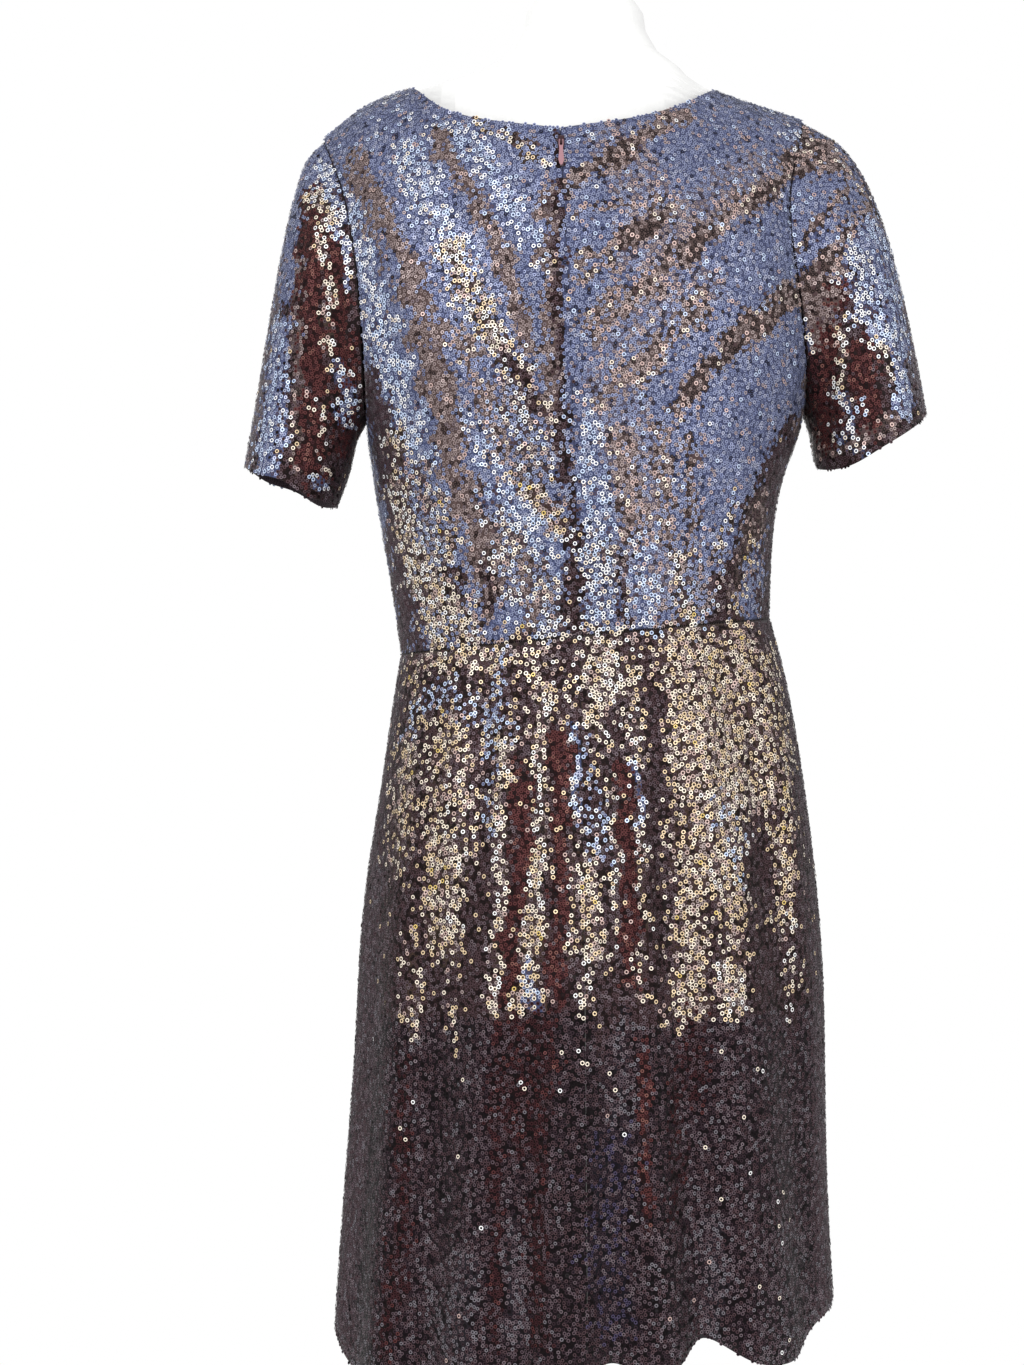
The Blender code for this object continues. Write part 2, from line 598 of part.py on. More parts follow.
def draw_in(grid, sides):
    """Moves the named edges of a grid in by half a seam's gap."""
    moved = grid.copy()
    ends = {"low": (0, 1, 0), "high": (-1, -2, 0), "first": (0, 1, 1), "last": (-1, -2, 1)}
    for side in sides:
        edge, inside, axis = ends[side]
        at = [slice(None)] * 2
        beside = [slice(None)] * 2
        at[axis], beside[axis] = edge, inside
        way = grid[tuple(beside)] - grid[tuple(at)]
        way = way / np.linalg.norm(way, axis=-1, keepdims=True)
        moved[tuple(at)] += way * SEAM_GAP / 2
    return moved


def wall(name, inside, normals, finish, round_about=False, thick=CLOTH):
    """A closed wall of even thickness on a grid of points."""
    rows, columns = inside.shape[:2]
    outside = inside + normals * thick
    points = np.concatenate([inside.reshape(-1, 3), outside.reshape(-1, 3)])
    layer = rows * columns
    across = columns if round_about else columns - 1
    faces = []
    for i in range(rows - 1):
        for j in range(across):
            k = (j + 1) % columns
            a, b, c, d = i * columns + j, i * columns + k, (i + 1) * columns + k, (i + 1) * columns + j
            faces.append((c, b, a, d))  # split along the same diagonal as the outside
            faces.append((a + layer, b + layer, c + layer, d + layer))
    for j in range(across):
        k = (j + 1) % columns
        top = (rows - 1) * columns
        faces.append((j, k, k + layer, j + layer))
        faces.append((top + j + layer, top + k + layer, top + k, top + j))
    if not round_about:
        for i in range(rows - 1):
            a, b = i * columns, (i + 1) * columns
            faces.append((a + layer, b + layer, b, a))
            a, b = a + columns - 1, b + columns - 1
            faces.append((a, b, b + layer, a + layer))
    return add_object(name, points, faces, finish)


def stack_rings(name, rings, finish):
    """A solid through closed rings of points, from the bottom up, with flat ends."""
    count = len(rings[0])
    points = np.concatenate(rings)
    faces = [tuple(range(count))[::-1]]
    for i in range(len(rings) - 1):
        for j in range(count):
            k = (j + 1) % count
            low, high = i * count, (i + 1) * count
            faces.append((low + j, low + k, high + k, high + j))
    faces.append(tuple(range((len(rings) - 1) * count, len(rings) * count)))
    return add_object(name, points, faces, finish)


def dress_panels():
    """The inside grid of each cloth piece, before its edges are drawn in at the seams."""
    panels = {
        "bodice_back_left": half_bodice("left", True),
        "bodice_back_right": half_bodice("right", True),
    }
    front_left, front_right = half_bodice("left", False), half_bodice("right", False)
    panels["bodice_front"] = np.concatenate([front_left[:, ::-1], front_right[:, 1:]], 1)
    panels["skirt_back_left"] = skirt_grid(0, 90, centre_first=True)
    panels["skirt_back_right"] = skirt_grid(0, -90, centre_first=True)
    panels["skirt_front"] = skirt_grid(90, 270)
    return panels


SEAMS = {
    "bodice_back_left": ("low", "first", "last"),
    "bodice_back_right": ("low", "first", "last"),
    "bodice_front": ("low", "first", "last"),
    "skirt_back_left": ("high", "first", "last"),
    "skirt_back_right": ("high", "first", "last"),
    "skirt_front": ("high", "first", "last"),
}


def shoulder_gap(grid, columns):
    """Draws in only the stretch of a bodice's top edge that is a shoulder seam."""
    drawn = draw_in(grid, ("high",))
    grid[-1, columns] = drawn[-1, columns]


def make_cloth(finish):
    panels = dress_panels()
    over_neck = slice(COLUMNS_NECK, None)
    for name, grid in panels.items():
        normals = outward_normals(grid)
        drawn = draw_in(grid, SEAMS[name])
        if name.startswith("bodice_back"):
            shoulder_gap(drawn, over_neck)
        elif name == "bodice_front":
            shoulder_gap(drawn, slice(0, COLUMNS_SHOULDER + 1))
            shoulder_gap(drawn, slice(-COLUMNS_SHOULDER - 1, None))
        level_rows(normals, 0 if name.startswith("bodice") else -1)
        make_outward(wall(name, drawn, normals, finish))
    for side, rings in (("left", SLEEVE_LEFT), ("right", SLEEVE_RIGHT)):
        loop, across, outwards = armhole_loop(panels, side)
        grid = sleeve_grid(loop, across, rings, side)
        normals = outward_normals(grid, round_about=True)
        beside = under_share(np.linspace(0, 2 * pi, len(loop), endpoint=False))
        normals[0] = unit((1 - beside) * outwards + beside * normals[0])
        make_outward(wall(f"sleeve_{side}", grid, normals, finish, round_about=True))
    return panels


def make_outward(made):
    """Turns a closed piece's faces outwards: a grid that runs the other way comes out inside out."""
    work = bmesh.new()
    work.from_mesh(made.data)
    if work.calc_volume(signed=True) < 0:
        bmesh.ops.reverse_faces(work, faces=work.faces)
    work.to_mesh(made.data)
    work.free()


# The dress form -----------------------------------------------------------------------


def ridge_reach(z, side):
    """How far out the form may go at this height before it meets the cloth over the shoulder."""
    x = np.linspace(0.02, 0.2, 400) * (1 if side == "left" else -1)
    under = read(RIDGE, "x", "z", x) - RIDGE_EASE >= z
    return abs(x[under]).max() if under.any() else 0.0


def form_ring(z):
    turn = np.linspace(0, 2 * pi, FORM_SIDES, endpoint=False)
    width, back, front = (float(read(FORM, "z", field, z)) for field in ("width", "back", "front"))
    if z < NECK_FREE:
        to_left = np.sin(turn) > 0
        width = np.minimum(width, np.where(to_left, ridge_reach(z, "left"), ridge_reach(z, "right")))
    x = width * np.sin(turn)
    own = np.where(np.cos(turn) > 0, back, front) * abs(np.cos(turn)) ** FORM_ROUNDNESS
    if WAIST < z < NECK_FREE:
        for behind in (True, False):
            steeper = FORM_STEEPER_BACK if behind else FORM_STEEPER_FRONT
            neckline = read(BACK_NECKLINE if behind else FRONT_NECKLINE, "x", "z", x)
            cloth = bodice_depth(x, np.full_like(x, z), behind, RIDGE_EASE, steeper)
            room = np.maximum(cloth**2 / (cloth + FORM_EASE), 1e-4)  # the ease fades out at the ridge
            inside = np.where(x > 0, NECK_LEFT, -NECK_RIGHT) - abs(x)
            fade = np.clip(inside / NECK_ROOM_FADE, 0, 1)
            room = room + NECK_ROOM * fade * np.maximum(z - neckline, 0)
            here = (np.cos(turn) > 0) == behind
            tight = (np.maximum(own, 1e-4) ** -FORM_BLEND + room**-FORM_BLEND) ** (-1 / FORM_BLEND)
            own = np.where(here, tight, own)
    return np.stack([x, own * np.sign(np.cos(turn)), np.full_like(x, z)], -1)


def circle(radius, z, sides=FORM_SIDES):
    turn = np.linspace(0, 2 * pi, sides, endpoint=False)
    return np.stack([radius * np.sin(turn), radius * np.cos(turn), np.full(sides, z)], -1)


def make_form():
    white = material("form_shell", (0.85, 0.85, 0.84), 0.5)
    grey = material("neck_cap", (0.55, 0.55, 0.55), 0.4)
    steel = material("stand_enamel", (0.80, 0.80, 0.79), 0.35)
    bottom, top = FORM[0].z, FORM[-1].z
    make_outward(stack_rings("form_torso", [form_ring(z) for z in FORM_LEVELS], white))
    cap_low = top + SEAM_GAP
    cap = [circle(CAP_RADIUS, cap_low), circle(CAP_RADIUS, cap_low + CAP_THICK)]
    make_outward(stack_rings("form_neck_cap", cap, grey))
    base_top = BASE[-1][1]
    pole = [circle(POLE_RADIUS, z, POLE_SIDES) for z in (base_top + SEAM_GAP, bottom - SEAM_GAP)]
    make_outward(stack_rings("form_pole", pole, steel))
    make_outward(stack_rings("form_base", [circle(radius, z) for radius, z in BASE], steel))


# The zip ------------------------------------------------------------------------------


def walk(line, values, distance):
    """What the values along a line of points come to this far along it."""
    return np.array([np.interp(distance, lengths(line), values[:, k]) for k in range(3)])


def make_tapes(panels, finish):
    """The zip's two tapes, each inside its back piece and laid on that piece's points."""
    facing = {name: outward_normals(grid) for name, grid in panels.items() if "back" in name}
    for kind in ("skirt_back", "bodice_back"):
        middle = facing[f"{kind}_left"][:, 0] + facing[f"{kind}_right"][:, 0]
        facing[f"{kind}_left"][:, 0] = facing[f"{kind}_right"][:, 0] = unit(middle)
    for side in ("left", "right"):
        rows = []
        for kind, first_row in (("skirt_back", 0), ("bodice_back", 1)):
            grid, outwards = panels[f"{kind}_{side}"], facing[f"{kind}_{side}"]
            for line, out in zip(grid[first_row:], outwards[first_row:]):
                if line[0, 2] < WAIST - ZIP_BELOW_WAIST:
                    continue
                if kind == "skirt_back":  # its columns are already half a tape apart
                    rows.append((line[:3], out[:3]))
                    continue
                stops = [0, TAPE_WIDTH / 2, TAPE_WIDTH]
                points = [walk(line, line, away) for away in stops]
                rows.append((points, [walk(line, out, away) for away in stops]))
        on_cloth = np.array([points for points, _ in rows])
        outwards = unit(np.array([out for _, out in rows]))
        on_cloth[-1] += (on_cloth[-2] - on_cloth[-1]) * TAPE_SHORT
        inside = draw_in(on_cloth, ("first",)) - outwards * (TAPE_GAP + TAPE_THICK)
        make_outward(wall(f"zip_tape_{side}", inside, outwards, finish, thick=TAPE_THICK))


def cloth_at_pin(panels):
    """The place on the outside of the centre back seam under the pin, and how far the cloth leans there."""
    line = panels["bodice_back_left"][:, 0]
    i = int(np.searchsorted(line[:, 2], PIN_HEIGHT))
    low, high = line[i - 1], line[i]
    share = (PIN_HEIGHT - low[2]) / (high[2] - low[2])
    lean = float(np.arctan2(low[1] - high[1], high[2] - low[2]))
    outwards = np.array([0, cos(lean), sin(lean)])
    return low + (high - low) * share + outwards * CLOTH, outwards, lean


def box(name, low, high, finish):
    points = [(x, y, z) for x in (low[0], high[0]) for y in (low[1], high[1]) for z in (low[2], high[2])]
    faces = [(0, 1, 3, 2), (4, 6, 7, 5), (0, 4, 5, 1), (2, 3, 7, 6), (0, 2, 6, 4), (1, 5, 7, 3)]
    made = add_object(name, points, faces, finish)
    make_outward(made)
    return made


def extrude_outline(name, outline, low_x, high_x, finish, flat_axis):
    """A flat outline given thickness. flat_axis says which local axis the thickness runs along."""
    count = len(outline)
    points = []
    for x in (low_x, high_x):
        for a, b in outline:
            points.append((x, a, b) if flat_axis == "x" else (a, x, b))
    faces = [tuple(range(count)), tuple(range(2 * count - 1, count - 1, -1))]
    faces += [(j, j + count, (j + 1) % count + count, (j + 1) % count) for j in range(count)]
    made = add_object(name, points, faces, finish)
    make_outward(made)
    return made


def combine(target, other, operation):
    """Joins or cuts with a helper that stays hidden."""
    modifier = target.modifiers.new(operation.lower(), "BOOLEAN")
    modifier.operation = operation
    modifier.object = other
    other.hide_render = True
    other.display_type = "WIRE"


def make_slider_and_tab(panels):
    metal = material("lacquered_zinc", (0.42, 0.25, 0.27), 0.3, 0.6)
    foot, outwards, lean = cloth_at_pin(panels)
    pin = foot + outwards * PIN_OFF_CLOTH
    half = SLIDER_LENGTH / 2
    low = -PIN_OFF_CLOTH + SEAM_GAP
    plate = box(
        "zip_slider", (-SLIDER_WIDTH / 2, low, -half), (SLIDER_WIDTH / 2, low + SLIDER_THICK, half), metal
    )
    out, far = BRIDGE_TOP, BRIDGE_HALF_LENGTH
    foot_y = low + SLIDER_THICK / 2
    corner, side = BRIDGE_CORNER_OUT, out - BRIDGE_CORNER_IN
    bridge = [(foot_y, -far), (side, -far), (out, -far + corner), (out, far - corner)]
    bridge += [(side, far), (foot_y, far), (foot_y, far - BRIDGE_WALL)]
    bridge += [(out - BRIDGE_WALL, far - BRIDGE_WALL), (out - BRIDGE_WALL, BRIDGE_WALL - far)]
    bridge += [(foot_y, BRIDGE_WALL - far)]
    arch = extrude_outline("slider_bridge", bridge, -BRIDGE_WIDTH / 2, BRIDGE_WIDTH / 2, metal, "x")
    combine(plate, arch, "UNION")
    below = column(TAB, "below")
    steps = np.concatenate([below[:1], np.linspace(0.0, below[-3], TAB_STEPS), below[-2:]])
    right = [(float(smooth(below, column(TAB, "half_width"), b)), -float(b)) for b in steps]
    outline = right + [(-w, b) for w, b in right[::-1]]
    tab = extrude_outline("zip_pull_tab", outline, -TAB_THICK / 2, TAB_THICK / 2, metal, "y")
    eye_half = BRIDGE_WIDTH / 2 + TAB_EYE_PLAY
    low_corner = (-eye_half, -2 * TAB_THICK, -TAB_EYE_END)
    eye = box("tab_eye", low_corner, (eye_half, 2 * TAB_THICK, -TAB_EYE_START), metal)
    combine(tab, eye, "DIFFERENCE")
    for piece in (plate, arch, tab, eye):
        piece.location = pin
        piece.rotation_euler = (lean, 0, 0)


def clear_scene():
    for item in list(bpy.data.objects):
        bpy.data.objects.remove(item)


clear_scene()
PANELS = make_cloth(material("sequinned_net", (0.10, 0.07, 0.08), 0.35, 0.5))
make_tapes(PANELS, material("zip_tape", (0.05, 0.03, 0.04), 0.8))
make_slider_and_tab(PANELS)
make_form()
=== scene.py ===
# %% [markdown]
# # A sequinned cocktail dress on a dress form
# The dress is net with small ring sequins sewn all over it, so close that they lap over each
# other. The imported model gives each panel as a smooth wall of cloth. Here every panel gets its skin
# of net, its drawn creases and its sequins, one small punched ring at a time. A picture of
# sequins laid on the cloth would be quicker, but its edges would be flat and it would never catch
# the light.

# %% Load the imported model
from collections import namedtuple
from math import pi, radians

import bmesh
import bpy
import numpy as np
from mathutils import Matrix, Vector, kdtree


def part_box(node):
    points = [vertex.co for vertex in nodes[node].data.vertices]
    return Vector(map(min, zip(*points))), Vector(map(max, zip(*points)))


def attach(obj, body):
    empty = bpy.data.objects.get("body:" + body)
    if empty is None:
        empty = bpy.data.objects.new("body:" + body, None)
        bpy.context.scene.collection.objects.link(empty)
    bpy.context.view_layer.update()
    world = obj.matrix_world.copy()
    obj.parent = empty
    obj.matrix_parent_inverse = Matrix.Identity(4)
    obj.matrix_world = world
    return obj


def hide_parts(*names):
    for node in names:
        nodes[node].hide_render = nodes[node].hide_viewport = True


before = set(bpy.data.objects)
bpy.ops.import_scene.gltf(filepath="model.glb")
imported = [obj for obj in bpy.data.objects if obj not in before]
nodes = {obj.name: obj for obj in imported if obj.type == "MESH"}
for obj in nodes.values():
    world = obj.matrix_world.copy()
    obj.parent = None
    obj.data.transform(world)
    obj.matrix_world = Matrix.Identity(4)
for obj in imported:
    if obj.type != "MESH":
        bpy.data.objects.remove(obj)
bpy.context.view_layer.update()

MM = 0.001

# %% [markdown]
# ## A few helpers
# Colours are chosen as sRGB hex values, as in a paint program, but Blender's sockets take linear
# light, so one function turns them. Another adds a node to a material with its settings and links,
# which keeps each finish short enough to read as a recipe. Two more lay a pattern of a real size
# over a surface and let it shift the colour and raise or sink the surface a little.

# %% Colour, nodes and materials
def linear(colour):
    """An sRGB hex colour as linear red, green, blue and alpha."""
    parts = [int(colour[i : i + 2], 16) / 255 for i in (1, 3, 5)]
    light = [c / 12.92 if c <= 0.04045 else ((c + 0.055) / 1.055) ** 2.4 for c in parts]
    return (*light, 1)


def add_node(tree, kind, inputs=None, **settings):
    """A node with its settings. Inputs maps a socket's name to a value or to a node's output."""
    made = tree.nodes.new(kind)
    for name, value in settings.items():
        setattr(made, name, value)
    for name, value in (inputs or {}).items():
        if isinstance(value, bpy.types.NodeSocket):
            tree.links.new(value, made.inputs[name])
        else:
            made.inputs[name].default_value = value
    return made


def new_finish(name, colour, roughness, metallic=0.0, shine=0.5):
    """A material whose shader holds these values, its node tree and its shader."""
    made = bpy.data.materials.new(name)
    made.use_nodes = True
    shader = made.node_tree.nodes["Principled BSDF"]
    shader.inputs["Base Color"].default_value = linear(colour)
    shader.inputs["Roughness"].default_value = roughness
    shader.inputs["Metallic"].default_value = metallic
    shader.inputs["Specular IOR Level"].default_value = shine
    return made, made.node_tree, shader


def pattern(tree, kind, size_mm, inputs=None, **settings):
    """A texture in the object's own space, with marks of this size."""
    spot = add_node(tree, "ShaderNodeTexCoord").outputs["Object"]
    scale = 1 / (size_mm * MM)
    return add_node(tree, kind, {"Vector": spot, "Scale": scale, **(inputs or {})}, **settings)


def vary_surface(tree, shader, marks, colours, strength=0.0, depth_mm=0.0, **settings):
    """Lets marks shift the colour from one to another and, with a strength, work the surface."""
    from_colour, to_colour = map(linear, colours)
    shade = add_node(
        tree,
        "ShaderNodeMix",
        {"Factor": marks, "A": from_colour, "B": to_colour},
        data_type="RGBA",
    )
    tree.links.new(shade.outputs["Result"], shader.inputs["Base Color"])
    if strength:
        relief = {"Height": marks, "Strength": strength, "Distance": depth_mm * MM}
        bump = add_node(tree, "ShaderNodeBump", relief, **settings)
        tree.links.new(bump.outputs["Normal"], shader.inputs["Normal"])


def deselect():
    bpy.ops.object.select_all(action="DESELECT")


print("helpers ready")

# %% [markdown]
# ## The studio
# The dress is seen straight from behind, from just under its waist, against white paper. The
# paper is the world's own light: the camera sees it pure white, and the cloth gets a softer share
# of it, so that three large lamps can still model the folds. The floor is a pale round plinth that
# ends before the paper begins.

# %% Camera
EYE = Vector((0.057, 1.8, 0.92))
SENSOR_MM = 36.0
LENS_MM = 59.34

bpy.ops.object.camera_add(location=EYE, rotation=(pi / 2, 0, pi))
camera = bpy.context.object
camera.name = "camera_behind"
camera.data.sensor_fit = "VERTICAL"
camera.data.sensor_height = SENSOR_MM
camera.data.lens = LENS_MM
bpy.context.scene.camera = camera
print("camera", round(EYE.y, 2), "m behind the dress, lens", LENS_MM, "mm")

# %% Paper, lamps and floor
PAPER_ON_CLOTH = 0.76
Lamp = namedtuple("Lamp", "name place size watts")
LAMPS = [
    Lamp("lamp_key", (1.5, 2.6, 2.3), 1.4, 44),
    Lamp("lamp_fill", (-1.7, 2.3, 1.5), 1.6, 26),
    Lamp("lamp_front", (0.6, -2.6, 2.0), 1.8, 33),
]
LAMPS_AIM = Vector((0, 0, 0.95))
FLOOR_SIDES = 128
FLOOR_RADIUS, FLOOR_THICKNESS, FLOOR_GAP = 1.15, 0.004, 0.0002

world = bpy.data.worlds.new("white_paper")
world.use_nodes = True
bpy.context.scene.world = world
paper = world.node_tree
paper.nodes.clear()
seen = add_node(paper, "ShaderNodeLightPath").outputs["Is Camera Ray"]
share = add_node(paper, "ShaderNodeMapRange", {"Value": seen, "To Min": PAPER_ON_CLOTH})
light = {"Color": linear("#ffffff"), "Strength": share.outputs["Result"]}
glow = add_node(paper, "ShaderNodeBackground", light)
add_node(paper, "ShaderNodeOutputWorld", {"Surface": glow.outputs["Background"]})

for lamp in LAMPS:
    bpy.ops.object.light_add(type="AREA", location=lamp.place)
    made = bpy.context.object
    made.name = lamp.name
    made.data.size = lamp.size
    made.data.energy = lamp.watts
    aim = LAMPS_AIM - Vector(lamp.place)
    made.rotation_euler = aim.to_track_quat("-Z", "Y").to_euler()

bpy.ops.mesh.primitive_cylinder_add(
    vertices=FLOOR_SIDES, radius=FLOOR_RADIUS, depth=FLOOR_THICKNESS
)
floor = bpy.context.object
floor.name = "floor"
floor.data.transform(Matrix.Translation((0, 0, -FLOOR_THICKNESS / 2 - FLOOR_GAP)))
bpy.context.scene.view_settings.view_transform = "Standard"
print("studio:", len(LAMPS), "lamps, floor radius", FLOOR_RADIUS, "m")

# %% [markdown]
# ## Emulsion on the floor
# A painted plinth is nearly white and matt, with a faint cloudiness from the roller. Noise at the
# scale of a roller's mark, a few centimetres, moves the colour by a hair.

# %% Roller-painted emulsion
ROLLER_MARK_MM = 30.0

emulsion, tree, shader = new_finish("roller_painted_emulsion", "#f3f3f2", 0.9)
cloud = pattern(tree, "ShaderNodeTexNoise", ROLLER_MARK_MM).outputs["Fac"]
vary_surface(tree, shader, cloud, ("#f1f1f0", "#f6f6f5"))
floor.data.materials.append(emulsion)
print("floor finish:", emulsion.name)

# %% [markdown]
# ## Lines drawn on the cloth
# Creases and streaks of tone are both drawn the same way: a path of a few points in millimetres, as
# seen from behind (across, up), with a width. For any place on the cloth it is enough to know how
# far it lies from the path.

# %% Drawn paths and how far a spot is from one
WAVES, SHORTEST, LONGEST = 8, 0.7, 1.8  # a wandering value adds up waves about its size


def drawn(kind, *rows):
    """Lines of one kind, from rows that end with the points of their path."""
    values = len(kind._fields) - 1
    return [kind(*row[:values], row[values:]) for row in rows]


def reach(path, spots):
    """How far each spot lies from the path, and how far along it, from 0 to 1."""
    path = np.array(path, float)
    steps = np.diff(path, axis=0)
    lengths = np.linalg.norm(steps, axis=1)
    passed = np.cumsum(lengths) - lengths
    nearest = np.full(len(spots), np.inf)
    share = np.zeros(len(spots))
    for start, step, length, before in zip(path, steps, lengths, passed):
        part = np.clip((spots - start) @ step / length**2, 0, 1)
        gap = np.linalg.norm(spots - start - part[:, None] * step, axis=1)
        nearer = gap < nearest
        nearest[nearer] = gap[nearer]
        share[nearer] = ((before + part * length) / lengths.sum())[nearer]
    return nearest, share


def wander(spots, size, seed):
    """A smooth wandering value for each spot, about -1 to 1, that changes over this size."""
    draw = np.random.default_rng(seed)
    total = np.zeros(len(spots))
    for _ in range(WAVES):
        heading = draw.uniform(0, 2 * pi)
        pitch = 2 * pi / (size * draw.uniform(SHORTEST, LONGEST))
        across = spots @ np.array([np.cos(heading), np.sin(heading)])
        total += np.sin(across * pitch + draw.uniform(0, 2 * pi))
    return total / WAVES**0.5


print("path helpers ready")

# %% [markdown]
# ## The panels of net
# The dress is cut in eight panels: three for the bodice, three for the skirt and two sleeves. Each
# packed panel is a closed wall, so its skin is made by copying it, taking away the rim and the
# inside, and smoothing what is left with Subdivision Surface. Simulated cloth could hang it afresh,
# but then it would no longer lie where the imported model holds it, so the creases are given one by
# one.

# %% The panels and how they were cut
# width and length in m, area in square m, how it is held, and the mixture its sequins start from
Panel = namedtuple("Panel", "node width length area held ground")
PANELS = [
    Panel("bodice_back_left", 0.225, 0.46, 0.0825, "hung", "blue"),
    Panel("bodice_back_right", 0.215, 0.45, 0.0880, "hung", "blue"),
    Panel("bodice_front", 0.43, 0.46, 0.1697, "hung", "blue"),
    Panel("skirt_back_left", 0.30, 0.58, 0.1395, "gathered", "hip"),
    Panel("skirt_back_right", 0.30, 0.57, 0.1470, "gathered", "hip"),
    Panel("skirt_front", 0.59, 0.58, 0.2752, "gathered", "hip"),
    Panel("sleeve_left", 0.34, 0.29, 0.0600, "hung", "plum"),
    Panel("sleeve_right", 0.33, 0.28, 0.0560, "hung", "plum"),
]
print(len(PANELS), "panels,", round(sum(p.area for p in PANELS), 2), "square metres of net")

# %% Creases, listed one by one
# height and width in mm, and a negative height is a trough
Crease = namedtuple("Crease", "name height width path")
BACK_CREASES = drawn(
    Crease,
    ("left_blade", 3.2, 13, (168, 1330), (140, 1230), (112, 1130), (98, 1040)),
    ("left_armhole", 2.6, 9, (178, 1240), (160, 1160), (148, 1080)),
    ("left_neck", 2.4, 9, (98, 1320), (66, 1250), (48, 1190)),
    ("left_spine", 2.2, 8, (52, 1180), (36, 1110), (24, 1050)),
    ("right_neck_1", 2.6, 8, (-2, 1322), (-46, 1350), (-70, 1362)),
    ("right_neck_2", 2.8, 9, (0, 1262), (-36, 1282), (-66, 1306)),
    ("right_shoulder", 3.4, 11, (-50, 1250), (-96, 1284), (-150, 1322)),
    ("right_blade", 3.6, 13, (-62, 1140), (-104, 1198), (-158, 1240)),
    ("right_waist", 2.6, 9, (-120, 1080), (-108, 1020), (-100, 975)),
    ("right_spine", 2.2, 8, (-18, 1100), (-30, 1040), (-34, 980)),
    ("skirt_left_1", 3.4, 11, (96, 930), (100, 860), (104, 780), (106, 690)),
    ("skirt_left_2", -3.0, 9, (78, 930), (78, 850), (82, 760)),
    ("skirt_left_3", 3.0, 8, (60, 920), (56, 830), (54, 740), (58, 640)),
    ("skirt_mid_1", 3.0, 7, (32, 930), (34, 840), (36, 740), (42, 660)),
    ("skirt_mid_2", 2.6, 6, (-4, 900), (-2, 820), (0, 740)),
    ("skirt_mid_3", -3.0, 6, (-26, 900), (-28, 820), (-30, 740), (-28, 680)),
    ("skirt_right_1", 3.0, 7, (-38, 890), (-42, 810), (-42, 720), (-40, 660)),
    ("skirt_right_2", -3.2, 8, (-54, 900), (-56, 820), (-58, 720)),
    ("skirt_right_3", 3.6, 14, (-84, 910), (-88, 820), (-84, 720), (-78, 640)),
    ("skirt_right_4", 2.6, 9, (-112, 900), (-116, 820), (-118, 740)),
    ("skirt_right_5", 2.6, 8, (-146, 880), (-156, 800), (-160, 700)),
)
FRONT_CREASES = drawn(
    Crease,
    ("bust_left", 3.0, 12, (160, 1310), (128, 1230), (100, 1160)),
    ("bust_right", 3.0, 12, (-146, 1300), (-118, 1220), (-92, 1150)),
    ("waist_left", 2.6, 9, (60, 1090), (70, 1020), (84, 970)),
    ("waist_right", 2.4, 8, (-40, 1080), (-54, 1020), (-70, 980)),
    ("neck_left", 2.2, 8, (70, 1300), (52, 1250), (40, 1210)),
    ("neck_right", 2.0, 8, (-36, 1290), (-26, 1240), (-20, 1190)),
    ("skirt_1", 3.4, 11, (120, 910), (126, 820), (132, 700)),
    ("skirt_2", -3.0, 8, (86, 920), (88, 830), (92, 740)),
    ("skirt_3", 3.2, 9, (54, 920), (52, 820), (56, 690)),
    ("skirt_4", 2.8, 7, (10, 910), (14, 830), (12, 740)),
    ("skirt_5", -2.8, 7, (-24, 900), (-26, 800), (-28, 700)),
    ("skirt_6", 3.4, 12, (-66, 920), (-72, 820), (-70, 680)),
    ("skirt_7", 2.8, 9, (-118, 900), (-124, 800), (-130, 700)),
)
ARM_CREASES = drawn(
    Crease,
    ("left_arm_trough", -3.0, 9, (188, 1290), (192, 1220), (194, 1120)),
    ("left_arm_edge", 2.8, 8, (212, 1290), (216, 1210), (222, 1130)),
    ("left_arm_inner", 2.4, 7, (180, 1250), (176, 1180), (174, 1120)),
    ("right_arm_trough", -3.0, 9, (-186, 1200), (-190, 1150), (-188, 1110)),
    ("right_arm_edge", 2.6, 7, (-198, 1200), (-200, 1150), (-204, 1110)),
    ("right_cap_1", 2.2, 8, (-172, 1270), (-196, 1290), (-212, 1306)),
    ("right_cap_2", 2.4, 8, (-178, 1215), (-206, 1238), (-224, 1262)),
    ("right_arm_outer", 2.6, 8, (-232, 1230), (-242, 1180), (-246, 1130)),
)
print(len(BACK_CREASES) + len(FRONT_CREASES) + len(ARM_CREASES), "creases")

# %% Skin of a panel
MERGE_M = 0.00001
RIM_M = 0.0022  # the wall is 1.5 mm, so only the rim's faces have an edge shorter than this
SKIN_LEVELS = 2
JOIN_ANGLE = radians(70)  # triangles that bend less than this are joined to quads


def islands(cloth):
    """The faces of a mesh in connected groups."""
    waiting = set(cloth.faces)
    groups = []
    while waiting:
        group, pending = [], [waiting.pop()]
        while pending:
            face = pending.pop()
            group.append(face)
            for edge in face.edges:
                for other in edge.link_faces:
                    if other in waiting:
                        waiting.remove(other)
                        pending.append(other)
        groups.append(group)
    return groups


